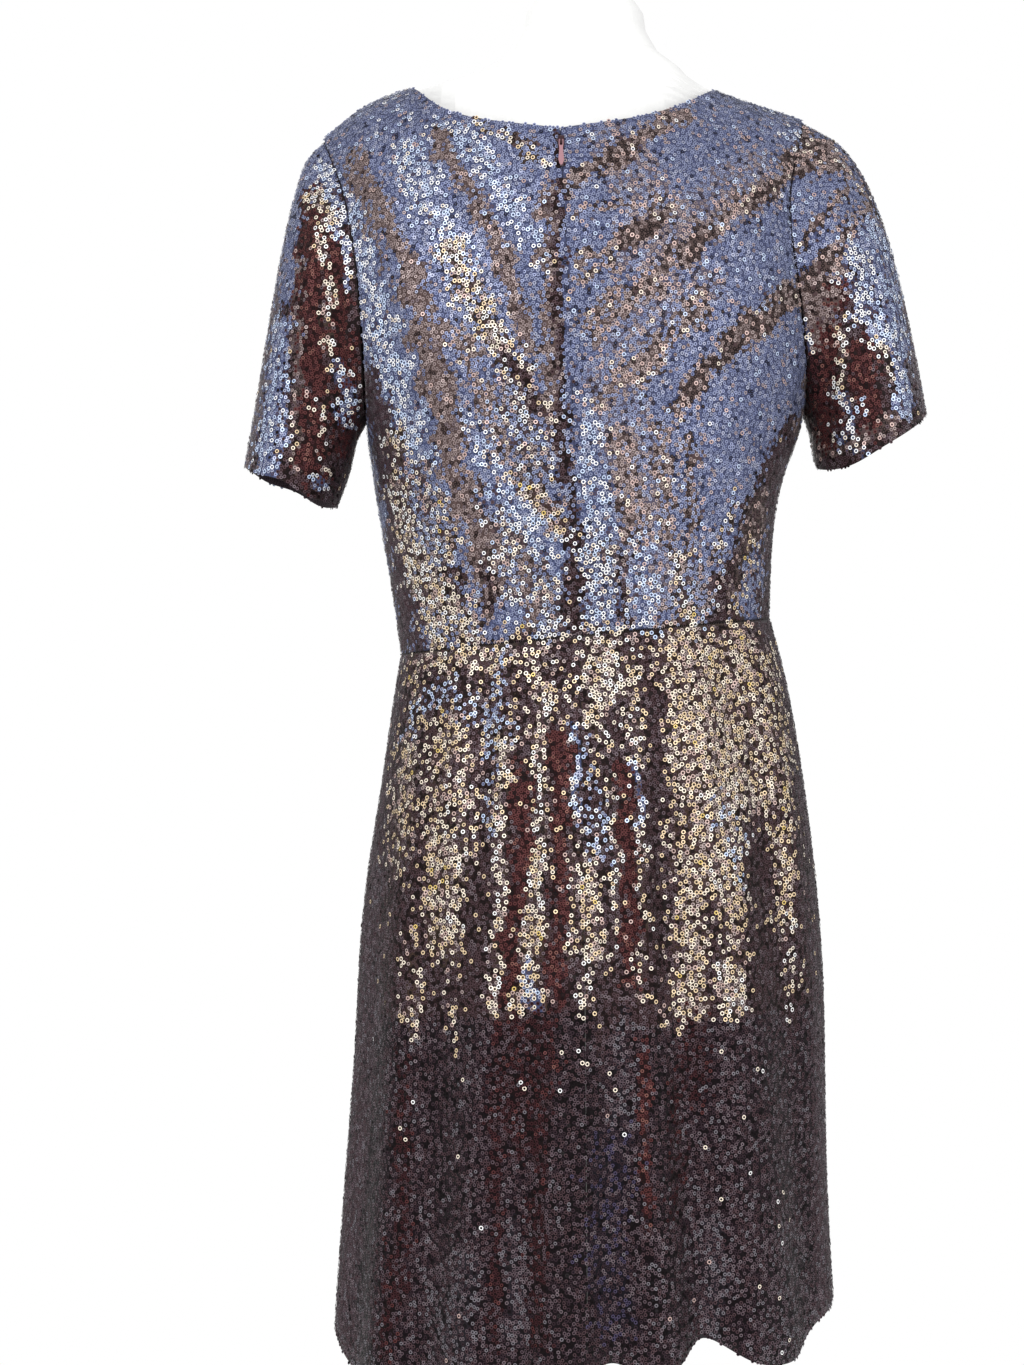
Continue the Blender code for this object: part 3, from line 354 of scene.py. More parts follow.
def outer_skin(panel):
    """The outside of a packed panel as one open sheet of quads."""
    low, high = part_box(panel.node)
    axis = (low + high) / 2 if panel.node.startswith("sleeve") else Vector((0, 0, 0))
    cloth = bmesh.new()
    cloth.from_mesh(nodes[panel.node].data)
    bmesh.ops.remove_doubles(cloth, verts=cloth.verts, dist=MERGE_M)
    rim = [f for f in cloth.faces if min(e.calc_length() for e in f.edges) < RIM_M]
    bmesh.ops.delete(cloth, geom=rim, context="FACES")

    def faces_outward(group):
        """How much of a group faces away from the body."""
        spread = 0
        for face in group:
            away = face.calc_center_median() - axis
            away.z = 0
            spread += face.normal.dot(away) * face.calc_area()
        return spread

    groups = sorted(islands(cloth), key=faces_outward)
    for group in groups[:-1]:
        bmesh.ops.delete(cloth, geom=group, context="FACES")
    loose = [v for v in cloth.verts if not v.link_faces]
    bmesh.ops.delete(cloth, geom=loose, context="VERTS")
    bmesh.ops.join_triangles(
        cloth,
        faces=cloth.faces[:],
        angle_face_threshold=JOIN_ANGLE,
        angle_shape_threshold=JOIN_ANGLE,
    )
    mesh = bpy.data.meshes.new("net_" + panel.node)
    cloth.to_mesh(mesh)
    cloth.free()
    made = bpy.data.objects.new("net_" + panel.node, mesh)
    bpy.context.scene.collection.objects.link(made)
    return made


def apply_modifier(piece, kind, **settings):
    """Adds a modifier with its settings and applies it."""
    deselect()
    bpy.context.view_layer.objects.active = piece
    piece.select_set(True)
    modifier = piece.modifiers.new(kind.lower(), kind)
    for name, value in settings.items():
        setattr(modifier, name, value)
    bpy.ops.object.modifier_apply(modifier=modifier.name)


def rim_pairs(mesh):
    """The two vertices of each open edge of a sheet."""
    count = {}
    for face in mesh.polygons:
        for pair in face.edge_keys:
            count[pair] = count.get(pair, 0) + 1
    return [pair for pair, faces in count.items() if faces == 1]


def open_edges(mesh):
    """The numbers of the vertices along a sheet's edge."""
    return sorted({v for pair in rim_pairs(mesh) for v in pair})


def tree_of(points):
    """A search tree over these points."""
    tree = kdtree.KDTree(len(points))
    for i, point in enumerate(points):
        tree.insert(point, i)
    tree.balance()
    return tree


def read_vectors(items, field):
    """One vector field of many mesh items as rows of an array."""
    values = np.zeros(len(items) * 3)
    items.foreach_get(field, values)
    return values.reshape(-1, 3)


skins = {}
for panel in PANELS:
    skin = outer_skin(panel)
    corners = [len(p.vertices) for p in skin.data.polygons]
    apply_modifier(
        skin,
        "SUBSURF",
        levels=SKIN_LEVELS,
        render_levels=SKIN_LEVELS,
        boundary_smooth="PRESERVE_CORNERS",
    )
    skin.data.shade_smooth()
    skins[panel.node] = skin
    print(skin.name, corners.count(4), "quads and", corners.count(3), "triangles, then smoothed")

# %% Creases pressed into the skins
SEAM_EASE_MM = 13.0  # a crease dies away over this before a seam
SKIN_SETBACK_MM = 0.3
CREASE_DRIFT_MM, CREASE_DRIFT_SIZE_MM = 3, 60
CREASE_END, CREASE_RUN = 0.15, 0.7  # each end of a crease keeps a little of its height


def press_creases(skin, node):
    """Moves a skin out and in along its own direction, by the creases that cross it."""
    mesh = skin.data
    places = read_vectors(mesh.vertices, "co")
    outward = read_vectors(mesh.vertices, "normal")
    edge = tree_of([mesh.vertices[i].co for i in open_edges(mesh)])
    from_edge = np.array([edge.find(v.co)[2] for v in mesh.vertices]) / MM
    ease = np.clip(from_edge / SEAM_EASE_MM, 0, 1) ** 2
    spots = places[:, [0, 2]] / MM
    drift = [wander(spots, CREASE_DRIFT_SIZE_MM, seed) for seed in (1, 2)]
    spots = spots + CREASE_DRIFT_MM * np.stack(drift, 1)
    behind = places[:, 1] > 0
    rise = np.full(len(places), -SKIN_SETBACK_MM)
    tables = [(ARM_CREASES, np.ones(len(places), bool))]
    if not node.startswith("sleeve"):
        tables = [(BACK_CREASES, behind), (FRONT_CREASES, ~behind)]
    for creases, side in tables:
        for crease in creases:
            gap, share = reach(crease.path, spots)
            ends = np.sin(pi * (CREASE_END + CREASE_RUN * share))
            rise += side * ease * ends * crease.height * np.exp(-((gap / crease.width) ** 2))
    places += outward * (rise * MM)[:, None]
    mesh.vertices.foreach_set("co", places.ravel())
    mesh.update()
    return rise


for panel in PANELS:
    skin = skins[panel.node]
    rise = press_creases(skin, panel.node)
    print(skin.name, "creased from", round(rise.min(), 1), "to", round(rise.max(), 1), "mm")

# %% [markdown]
# ## What the sequins look like
# A sequin is a ring punched from thin metallised film, 3 mm across. Its colour here is partly the
# film's own rose brown and plum and partly painted light: steel blue and lilac are painted
# reflections from above, gold, cream and white are painted highlights where a ring would catch the
# light, and the darkest tones near the hem are a painted dark reflection of the floor. The painted
# light lies in streaks, and each streak is a mixture: shares of a few film tones, drawn at random
# for each sequin.

# %% Tones of the film
Tone = namedtuple("Tone", "name colour metallic roughness flash")
# flash marks the bright tones that are painted highlights; they also get more gloss, stand proud and
# are drawn larger
TONES = [
    Tone("blue", "#8c93b2", 0.35, 0.38, False),
    Tone("blue_deep", "#757da0", 0.35, 0.38, False),
    Tone("blue_light", "#aeb2c8", 0.35, 0.34, False),
    Tone("pale", "#cfdff8", 0.20, 0.30, True),
    Tone("white", "#ffffff", 0.05, 0.30, True),
    Tone("cream", "#fff2df", 0.10, 0.30, True),
    Tone("gold", "#efd5ae", 0.20, 0.32, True),
    Tone("yellow", "#eed07c", 0.20, 0.32, True),
    Tone("rose", "#cfb2ab", 0.25, 0.34, True),
    Tone("tan", "#af9e9c", 0.30, 0.36, False),
    Tone("taupe", "#8e7e7d", 0.30, 0.40, False),
    Tone("silver_dim", "#7a757c", 0.30, 0.42, False),
    Tone("grey_light", "#73666c", 0.30, 0.42, False),
    Tone("grey", "#5e4f56", 0.30, 0.42, False),
    Tone("violet", "#4e4660", 0.30, 0.42, False),
    Tone("plum", "#4e3b40", 0.30, 0.42, False),
    Tone("black", "#100a0c", 0.30, 0.35, False),
    Tone("wine", "#5d3434", 0.35, 0.40, False),
    Tone("wine_light", "#825851", 0.35, 0.38, False),
    Tone("wine_dark", "#402226", 0.35, 0.42, False),
    Tone("dusk", "#35272e", 0.30, 0.45, False),
]
tone_number = {tone.name: i for i, tone in enumerate(TONES)}
FLASH_SHINE, CALM_SHINE, HOLE_SHINE = 0.5, 0.15, 0.05

films = []
for tone in TONES:
    # Metallised polyester film: half mirror and half tinted lacquer; its colour holds painted
    # reflections, and the flashing tones are painted highlights
    shine = FLASH_SHINE if tone.flash else CALM_SHINE
    values = (tone.colour, tone.roughness, tone.metallic, shine)
    films.append(new_finish("film_" + tone.name, *values)[0])
print(len(TONES), "film tones")

# %% Mixtures of tones
# under is the colour painted through the holes and in the net between the rings, kept dark as painted
# shade
Mixture = namedtuple("Mixture", "name under shares")
# Most mixtures paint light: pale, white, cream, gold and waist are painted highlights, blue and lilac
# painted reflections from above, and black, side, arm_side and the low ones painted shade and dark
# reflection; plum, taupe and wine hold the film's own colour too
MIXTURES = [
    Mixture("blue", "#4b5171", dict(
        blue_light=16, pale=2, blue=57, blue_deep=16, rose=1.5, tan=5, black=2.5)),
    # the muted blue and taupe mix is a painted reflection
    Mixture("dusty", "#5b5567", dict(
        white=2, pale=4, blue_light=12, blue=22, rose=9, tan=24, taupe=17, black=10)),
    Mixture("lilac", "#4f567a", dict(white=8, pale=30, blue_light=32, blue=26, plum=4)),
    Mixture("pale", "#4a5274", dict(white=33, pale=38, cream=4, blue_light=12, blue=8, plum=5)),
    Mixture("white", "#434560", dict(white=58, pale=17, cream=9, blue=9, plum=7)),
    Mixture("cream", "#41342f", dict(white=24, cream=39, gold=14, rose=6, tan=9, plum=6, black=3)),
    Mixture("gold", "#40312a", dict(
        cream=31, gold=30, yellow=2, rose=11, tan=13, plum=11, black=5)),
    Mixture("tan", "#5a4b4a", dict(white=2, cream=6, rose=16, tan=32, taupe=22, blue=6, black=16)),
    Mixture("taupe", "#584846", dict(
        rose=2, tan=18, taupe=56, grey_light=10, blue_deep=7, black=7)),
    Mixture("black", "#5a4a48", dict(rose=8, tan=14, taupe=18, plum=6, black=54)),
    Mixture("hip", "#2c1d1d", dict(
        cream=5, gold=9, rose=4, tan=4, grey_light=12, grey=22, plum=30, black=14)),
    Mixture("plum", "#291b1b", dict(gold=1.2, grey_light=12, grey=28, plum=40, black=18.8)),
    Mixture("wine", "#2d1617", dict(rose=1.2, wine_light=11, wine=64, wine_dark=13, black=10.8)),
    # side: painted shade and grazing reflection down the flanks, where the cloth turns away
    Mixture("side", "#372b31", dict(silver_dim=8, grey_light=14, grey=34, plum=44)),
    # low and the other low mixtures: painted dark reflection of the floor near the hem
    Mixture("low", "#150c11", dict(
        silver_dim=8, grey_light=10, grey=27, plum=29, dusk=18, black=8)),
    Mixture("low_wine", "#170b0d", dict(grey=14, wine=10, wine_dark=52, plum=16, black=8)),
    Mixture("low_violet", "#15111a", dict(grey_light=10, violet=32, grey=20, dusk=30, black=8)),
    Mixture("low_grey", "#221d23", dict(
        rose=0.5, silver_dim=34.5, grey_light=28, grey=27, black=10)),
    Mixture("low_dark", "#110a0e", dict(grey=22, plum=32, dusk=34, black=12)),
    # arm_side: painted shade and grazing reflection along the outer edge of a sleeve
    Mixture("arm_side", "#544b54", dict(silver_dim=38, taupe=30, grey_light=20, blue_deep=12)),
    Mixture("waist", "#42393f", dict(
        white=13, pale=9, cream=13, rose=12, blue_light=9, blue=11, tan=15, taupe=7, plum=14)),
    Mixture("wine_deep", "#1a0c0d", dict(wine=32, wine_dark=36, wine_light=4, plum=12, black=16)),
]
mixture_names = [mixture.name for mixture in MIXTURES]
HOLE_PAINTED_SHADE, HOLE_ROUGHNESS = 0.9, 0.55


def darker(colour, share):
    """The hex colour with each of its parts at this share."""
    return "#" + "".join(f"{int(int(colour[i : i + 2], 16) * share):02x}" for i in (1, 3, 5))


hole_number = len(films) + np.arange(len(MIXTURES))
for mixture in MIXTURES:
    # Through the hole of a ring shows the ring that lies under it, in the under colour darkened as
    # painted shade
    colour = darker(mixture.under, HOLE_PAINTED_SHADE)
    films.append(new_finish("under_" + mixture.name, colour, HOLE_ROUGHNESS, shine=HOLE_SHINE)[0])
print(len(MIXTURES), "mixtures")

# %% Bands of painted reflection, highlight and shade on the body
# strength is the share of the sequins at its middle that a band claims, and width its reach in mm
# Each band paints light into the film: its mixture tells which painted highlight, reflection or shade
# it lays on the sequins
Band = namedtuple("Band", "name mixture strength width path")
BODY_BANDS = drawn(
    Band,
    ("waist_mixed_left", "waist", 0.75, 24, (66, 1035), (48, 1000), (20, 968)),
    ("waist_mixed_right", "waist", 0.7, 24, (-12, 1010), (-50, 1000), (-92, 985)),
    # side bands: painted shade and grazing reflection down the flanks
    ("side_left", "side", 1, 10.1, (170, 1155), (156, 1108), (147, 1046), (144, 954)),
    ("side_left_in", "side", 0.75, 9.3, (154, 1138), (142, 1076), (134, 1015), (132, 953)),
    ("shoulder_white_left", "white", 0.2, 7.8, (151, 1378), (135, 1355), (128, 1346)),
    ("shoulder_dots_left", "pale", 0.15, 10.8, (166, 1352), (147, 1331), (112, 1336)),
    ("armhole_pale", "pale", 0.9, 10,
     (186, 1296), (176, 1262), (165, 1214), (151, 1160), (140, 1112)),
    ("armhole_pale_in", "pale", 0.8, 11, (162, 1214), (144, 1159), (133, 1121), (124, 1098)),
    ("armhole_cream", "cream", 0.8, 8.5, (146, 1107), (144, 1061), (131, 1015)),
    ("waist_left_gold", "cream", 0.75, 13.5, (131, 1015), (119, 984), (110, 959)),
    ("waist_left_cream", "cream", 0.75, 12.2, (112, 999), (95, 975), (86, 952)),
    ("side_mixed_left", "waist", 0.72, 14, (127, 1078), (117, 1042), (106, 1006)),
    ("spine_mixed_left", "waist", 0.6, 20, (50, 1140), (44, 1100), (40, 1064)),
    ("blade_taupe", "taupe", 0.95, 10.7, (179, 1323), (160, 1283), (144, 1242), (127, 1188)),
    ("blade_taupe_foot", "taupe", 1, 11.5,
     (127, 1188), (107, 1118), (98, 1070), (87, 1042), (78, 1014), (73, 985)),
    ("blade_taupe_low", "taupe", 0.8, 9.1, (139, 1250), (118, 1195), (107, 1134)),
    ("blue_thread", "blue", 0.85, 3.8, (155, 1262), (142, 1204), (130, 1150), (118, 1111)),
    ("blade_black", "black", 0.55, 3.6, (97, 1122), (91, 1084), (81, 1056), (76, 1038), (72, 1015)),
    ("blade_black_low", "black", 0.75, 6.8, (77, 998), (71, 974)),
    ("blade_gold", "gold", 0.45, 6.1, (112, 1059), (103, 1021), (95, 1002)),
    ("blade_dark", "plum", 0.6, 7.6, (107, 1005), (94, 986)),
    ("neck_white", "pale", 0.75, 9, (106, 1345), (87, 1329), (74, 1306), (60, 1284)),
    ("neck_pale", "pale", 0.75, 9, (59, 1280), (45, 1256), (32, 1234)),
    ("neck_taupe", "taupe", 0.95, 6.8,
     (115, 1343), (95, 1303), (78, 1273), (63, 1236), (48, 1190), (41, 1173)),
    ("blade_glints", "pale", 0.85, 13, (137, 1322), (124, 1296), (112, 1271), (102, 1250)),
    ("blade_cream", "cream", 0.8, 12, (104, 1245), (92, 1220), (81, 1199), (66, 1174)),
    ("spine_cream", "cream", 0.65, 10, (66, 1173), (49, 1148), (30, 1124)),
    ("spine_dark", "plum", 0.6, 6.8, (62, 1170), (48, 1147), (39, 1129)),
    ("spine_blue", "blue", 0.8, 8.2, (44, 1235), (36, 1207), (30, 1169)),
    ("neckline_cream", "cream", 0.45, 4.6, (83, 1345), (66, 1337), (48, 1323), (28, 1309)),
    ("neckline_dark", "black", 0.5, 4.5, (60, 1338), (39, 1326)),
    ("zip_dark_left", "plum", 0.78, 6, (24, 1294), (24, 1206), (21, 1132), (18, 1072)),
    # the dark slit beside the slider is a painted shadow
    ("zip_slit", "plum", 0.95, 2.2, (21, 1334), (21, 1308)),
    ("zip_taupe_left", "taupe", 0.6, 6.8, (30, 1291), (32, 1206), (26, 1132)),
    ("waist_gold_mid", "gold", 0.62, 9.8, (51, 1068), (32, 1054), (21, 1035)),
    ("zip_dark_waist", "plum", 0.6, 6, (12, 1072), (10, 1012), (7, 960)),
    ("waist_pale_mid", "pale", 0.6, 11.3, (57, 1058), (36, 1027), (24, 1012)),
    ("waist_taupe_mid", "taupe", 0.65, 5.3, (48, 1013), (45, 982), (42, 961)),
    ("waist_dark_left", "plum", 0.45, 7, (77, 1006), (73, 978)),
    ("waist_white_mid", "white", 0.4, 12.1, (66, 1013), (51, 982), (36, 960)),
    ("back_taupe_mid", "tan", 0.55, 10.6, (95, 1186), (77, 1133), (66, 1095)),
    ("back_pale_mid", "pale", 0.5, 9.1, (89, 1118), (69, 1080), (57, 1043)),
    ("back_dusty_1", "dusty", 0.6, 26, (-20, 1325), (-45, 1290), (-60, 1250)),
    ("back_dusty_2", "dusty", 0.6, 30, (-40, 1250), (-85, 1270), (-125, 1310)),
    ("back_dusty_3", "dusty", 0.55, 22, (-15, 1180), (-50, 1200), (-90, 1220)),
    ("back_dusty_4", "dusty", 0.65, 26, (-20, 1140), (-40, 1060), (-45, 1000)),
    ("back_dusty_5", "dusty", 0.35, 16, (-75, 1110), (-85, 1050), (-80, 990)),
    ("neck_fan_1", "tan", 0.9, 6.1, (12, 1295), (-14, 1316), (-40, 1333), (-62, 1352)),
    ("neck_fan_1_black", "black", 0.85, 6.8, (-12, 1309), (-26, 1321), (-43, 1335)),
    ("neck_fan_tan", "tan", 0.8, 6.1, (-50, 1339), (-65, 1349), (-83, 1358)),
    ("neck_fan_2", "tan", 0.5, 4.5, (6, 1272), (-21, 1278), (-53, 1284)),
    ("neck_fan_3", "tan", 0.9, 6, (8, 1235), (-13, 1244), (-36, 1257), (-64, 1278)),
    ("neck_fan_3_black", "black", 0.85, 6.8, (-29, 1250), (-44, 1263), (-54, 1270)),
    ("neck_fan_4", "tan", 0.65, 4.5, (12, 1220), (-3, 1224), (-21, 1234)),
    ("neck_fan_4_black", "black", 0.6, 4.5, (-36, 1214), (-47, 1223), (-57, 1231)),
    ("shoulder_tan", "tan", 0.95, 9.2,
     (-50, 1225), (-68, 1241), (-90, 1261), (-112, 1282), (-137, 1297), (-160, 1321), (-173, 1342)),
    ("shoulder_black", "black", 0.8, 6.8, (-76, 1246), (-88, 1256)),
    ("shoulder_black_out", "black", 0.8, 6.2,
     (-127, 1282), (-140, 1298), (-154, 1313), (-165, 1329)),
    ("blade_tan_1", "tan", 0.6, 6, (-25, 1197), (-42, 1210), (-60, 1228)),
    ("blade_tan_2", "tan", 0.7, 10.5, (-3, 1184), (-13, 1202), (-22, 1212)),
    ("blade_tan_3", "tan", 0.72, 11.3, (-39, 1147), (-57, 1174), (-85, 1204)),
    ("blade_tan_4", "tan", 0.6, 11.2, (-9, 1132), (-30, 1154), (-51, 1172)),
    ("blade_diagonal", "tan", 0.95, 9.1,
     (-66, 1125), (-85, 1151), (-108, 1175), (-135, 1198), (-166, 1227)),
    ("blade_diagonal_black", "black", 0.85, 7.6,
     (-73, 1133), (-89, 1157), (-110, 1177), (-132, 1194), (-159, 1218)),
    ("spine_pale_right", "pale", 0.65, 9.8, (2, 1117), (-3, 1080), (-8, 1035)),
    ("spine_taupe_right", "tan", 0.8, 9.8, (-24, 1102), (-32, 1065), (-37, 1027)),
    ("spine_taupe_out", "tan", 0.65, 7.5, (-54, 1110), (-58, 1065), (-61, 1028)),
    ("spine_black_right", "black", 0.65, 4.5, (-77, 1103), (-79, 1058), (-78, 1019)),
    ("waist_white_right", "white", 0.7, 13.6, (-2, 1024), (-9, 990), (-13, 966)),
    ("waist_pale_right", "pale", 0.6, 10.6, (-40, 1024), (-44, 990), (-48, 966)),
    ("waist_cream_right", "cream", 0.55, 9.1, (-67, 1013), (-74, 983), (-79, 966)),
    ("waist_dark_right", "plum", 0.5, 6, (-26, 1012), (-29, 982), (-31, 966)),
    ("side_dark_right", "plum", 0.95, 12,
     (-166, 1118), (-144, 1077), (-127, 1038), (-112, 999), (-104, 965)),
    ("side_black_right", "black", 0.85, 9, (-139, 1062), (-125, 1030), (-115, 991)),
    ("side_cream_right", "cream", 0.5, 4.6, (-116, 1061), (-107, 1037), (-99, 1017)),
    ("side_gold_right", "gold", 0.45, 6.2, (-132, 1032), (-120, 991), (-116, 967)),
    ("side_blue_right", "blue", 0.7, 3.9, (-125, 1015), (-121, 982)),
    ("side_right", "side", 1, 9.4, (-157, 1100), (-150, 1048), (-145, 1001), (-142, 967)),
    ("arm_edge_right", "taupe", 0.6, 3.9, (-178, 1163), (-175, 1135), (-167, 1112)),
    ("shoulder_specks_right", "pale", 0.3, 7.9, (-151, 1361), (-163, 1353), (-168, 1347)),
    ("hip_mixed_left", "gold", 0.5, 15, (52, 950), (42, 915), (38, 880)),
    ("hip_gold_left", "gold", 0.6, 12.3, (128, 934), (105, 936), (74, 940)),
    ("hip_plum_left", "plum", 0.55, 9.2, (137, 931), (112, 917), (89, 914)),
    ("hip_blue_left", "lilac", 0.4, 6.9, (142, 868), (133, 894), (115, 913), (95, 925)),
    ("hip_pale_left", "lilac", 0.4, 12.8, (95, 902), (74, 898), (60, 889)),
    ("hip_pale_line", "lilac", 0.4, 6.8, (66, 940), (69, 907), (72, 862), (75, 810)),
    ("skirt_gold_1", "gold", 0.55, 10.8, (136, 868), (140, 830), (144, 784)),
    ("skirt_gold_2", "gold", 0.62, 12.1, (106, 891), (112, 838), (114, 793)),
    ("skirt_gold_3", "gold", 0.92, 11.3, (110, 794), (111, 756), (108, 719)),
    ("skirt_gold_4", "cream", 0.5, 6.8, (93, 861), (96, 809), (97, 742)),
    ("skirt_gold_5", "gold", 0.42, 7.6, (123, 756), (133, 703), (132, 658)),
    ("skirt_gold_6", "gold", 0.38, 6.7, (99, 720), (102, 683), (102, 649)),
    ("skirt_cream_line", "cream", 0.8, 4.5, (63, 877), (64, 810), (65, 759), (69, 715), (72, 678)),
    ("skirt_wine_1", "wine", 0.95, 7.4, (51, 862), (50, 817), (51, 773), (57, 729), (62, 685)),
    ("skirt_dark_1", "plum", 0.7, 7.5, (49, 952), (48, 907), (51, 855)),
    ("skirt_gold_line", "cream", 0.78, 6,
     (31, 914), (35, 862), (37, 810), (39, 759), (45, 714), (51, 673)),
    ("skirt_gold_foot", "gold", 0.85, 11.1, (41, 737), (44, 704), (50, 676)),
    ("skirt_blue_foot", "pale", 0.7, 5.9, (45, 709), (41, 685)),
    ("skirt_wine_2", "wine", 0.95, 5.9, (20, 877), (20, 810), (23, 745), (26, 686), (28, 628)),
    ("skirt_pale_line", "pale", 0.6, 3.7, (15, 892), (10, 862), (9, 818)),
    ("zip_dark_skirt", "plum", 0.7, 4.5, (3, 945), (5, 907)),
    ("hip_cream_mid", "cream", 0.85, 15.1, (-9, 949), (-14, 931), (-14, 914)),
    ("hip_white_mid", "cream", 0.5, 13.5, (-2, 937), (-6, 907), (-3, 877)),
    ("hip_pale_mid", "cream", 0.55, 9, (-35, 937), (-39, 907), (-39, 862)),
    ("zip_dark_seam", "plum", 0.78, 6.2, (13, 1004), (13, 980), (8, 948)),
    ("skirt_blue_mid", "lilac", 0.4, 6.8, (4, 885), (0, 850), (-6, 816), (-9, 788)),
    ("skirt_gold_mid", "gold", 0.85, 8.1, (-1, 789), (0, 745), (-5, 716)),
    ("skirt_cream_mid", "cream", 0.6, 5.9, (-2, 716), (3, 680), (9, 638)),
    ("skirt_plum_mid", "plum", 0.7, 6, (-21, 907), (-18, 862)),
    ("skirt_wine_3", "wine", 0.95, 6.7, (-28, 862), (-29, 810), (-30, 759), (-30, 700)),
    ("skirt_thread_mid", "cream", 0.55, 3, (-18, 847), (-20, 788), (-21, 722)),
    ("skirt_line_right", "pale", 0.5, 5.2, (-37, 862), (-39, 818)),
    ("skirt_line_right_low", "cream", 0.58, 5.2, (-40, 812), (-40, 759), (-40, 715), (-37, 679)),
    ("skirt_dark_2", "plum", 0.95, 8.9, (-52, 914), (-52, 847), (-53, 788), (-54, 729), (-46, 679)),
    ("skirt_field_1", "gold", 0.9, 16.6, (-70, 952), (-73, 907), (-76, 847)),
    ("skirt_field_2", "gold", 0.9, 18.2, (-104, 953), (-104, 892), (-102, 832)),
    ("skirt_field_3", "gold", 0.7, 14.9, (-84, 862), (-86, 810), (-83, 773)),
    ("skirt_field_4", "cream", 0.6, 13.5, (-102, 839), (-103, 795), (-104, 758)),
    ("skirt_field_5", "gold", 0.92, 14.1, (-74, 810), (-76, 758), (-75, 714), (-72, 675)),
    ("skirt_field_6", "gold", 0.7, 10.4, (-104, 773), (-109, 735), (-103, 681)),
    ("skirt_field_7", "cream", 0.6, 10.4, (-101, 706), (-107, 679)),
    ("skirt_field_blue", "pale", 0.25, 9, (-93, 832), (-111, 802), (-115, 764)),
    ("skirt_field_dark", "plum", 0.6, 5.9, (-92, 758), (-95, 721), (-87, 684)),
    ("skirt_dark_3", "plum", 0.6, 5.5, (-130, 800), (-129, 740), (-131, 700)),
    ("skirt_field_8", "gold", 0.75, 12, (-124, 945), (-128, 890), (-130, 830)),
    ("skirt_edge_gold_1", "gold", 0.55, 10.8, (-146, 938), (-150, 891), (-145, 830)),
    ("skirt_edge_gold_2", "gold", 0.85, 7.6, (-149, 807), (-151, 769), (-152, 739)),
    ("skirt_edge_gold_3", "cream", 0.35, 5.3, (-152, 739), (-154, 708), (-152, 670)),
    # low bands: painted dark reflection of the floor near the hem
    ("low_dark_mid", "low_dark", 0.85, 24, (14, 655), (6, 560), (0, 430)),
    ("low_dark_right", "low_dark", 0.7, 12, (-46, 650), (-50, 540), (-52, 440)),
    ("low_dark_left", "low_dark", 0.6, 12, (112, 640), (110, 560), (104, 510)),
    ("low_dark_edge", "low_dark", 0.6, 10, (172, 620), (170, 540), (166, 450)),
    ("low_red_left", "low_wine", 0.75, 6.8,
     (140, 635), (142, 582), (138, 530), (143, 478), (152, 421)),
    ("low_red_left_wide", "low_wine", 0.45, 10.5, (143, 500), (147, 462), (153, 424)),
    ("low_red_1", "low_wine", 0.95, 5.2, (68, 663), (68, 598), (69, 525), (70, 434)),
    ("low_red_2", "low_wine", 0.8, 14.8, (50, 663), (50, 626), (51, 582)),
    ("low_red_3", "low_wine", 0.95, 5.9, (33, 686), (34, 628), (36, 569), (39, 504), (38, 436)),
    ("low_red_line", "wine", 0.9, 3.7, (-38, 657), (-40, 613), (-40, 570), (-41, 523)),
    ("low_red_right", "low_wine", 0.6, 13.4, (-75, 662), (-78, 643), (-75, 617)),
    ("low_red_right_2", "low_wine", 0.5, 6.7, (-64, 618), (-66, 574), (-64, 531)),
    ("low_violet_mid", "low_violet", 0.85, 16.2, (-17, 583), (-12, 540), (-10, 497), (-16, 452)),
    ("low_grey_mid", "low_grey", 0.6, 7.4, (-23, 671), (-24, 634), (-25, 602)),
    ("low_silver_left", "low_grey", 0.6, 12.5, (91, 489), (94, 458), (97, 422)),
    ("low_silver_left_2", "low_grey", 0.4, 8.2, (118, 477), (114, 452), (117, 422)),
    ("low_silver_far", "low_grey", 0.4, 13.9, (182, 445), (177, 417), (170, 402)),
    ("low_silver_mid", "low_grey", 0.6, 8.8, (56, 517), (56, 480), (54, 437)),
    ("low_silver_right", "low_grey", 0.6, 14.8, (-91, 510), (-94, 481), (-91, 448)),
    ("low_silver_right_2", "low_grey", 0.4, 10.2, (-51, 512), (-54, 476), (-57, 448)),
    ("low_silver_edge", "low_grey", 0.4, 16.5, (-154, 497), (-149, 456), (-140, 422)),
    # painted shade down the sides of the skirt
    ("skirt_side_left", "side", 0.9, 11,
     (147, 938), (162, 859), (167, 750), (171, 640), (183, 513), (189, 411)),
    ("skirt_side_right", "side", 0.9, 11,
     (-152, 954), (-172, 859), (-184, 765), (-185, 641), (-186, 517), (-185, 422)),
    ("skirt_cream_thread", "cream", 0.5, 3.7, (11, 806), (11, 762), (14, 722)),
)
print(len(BODY_BANDS), "bands on the bodice and the skirt")
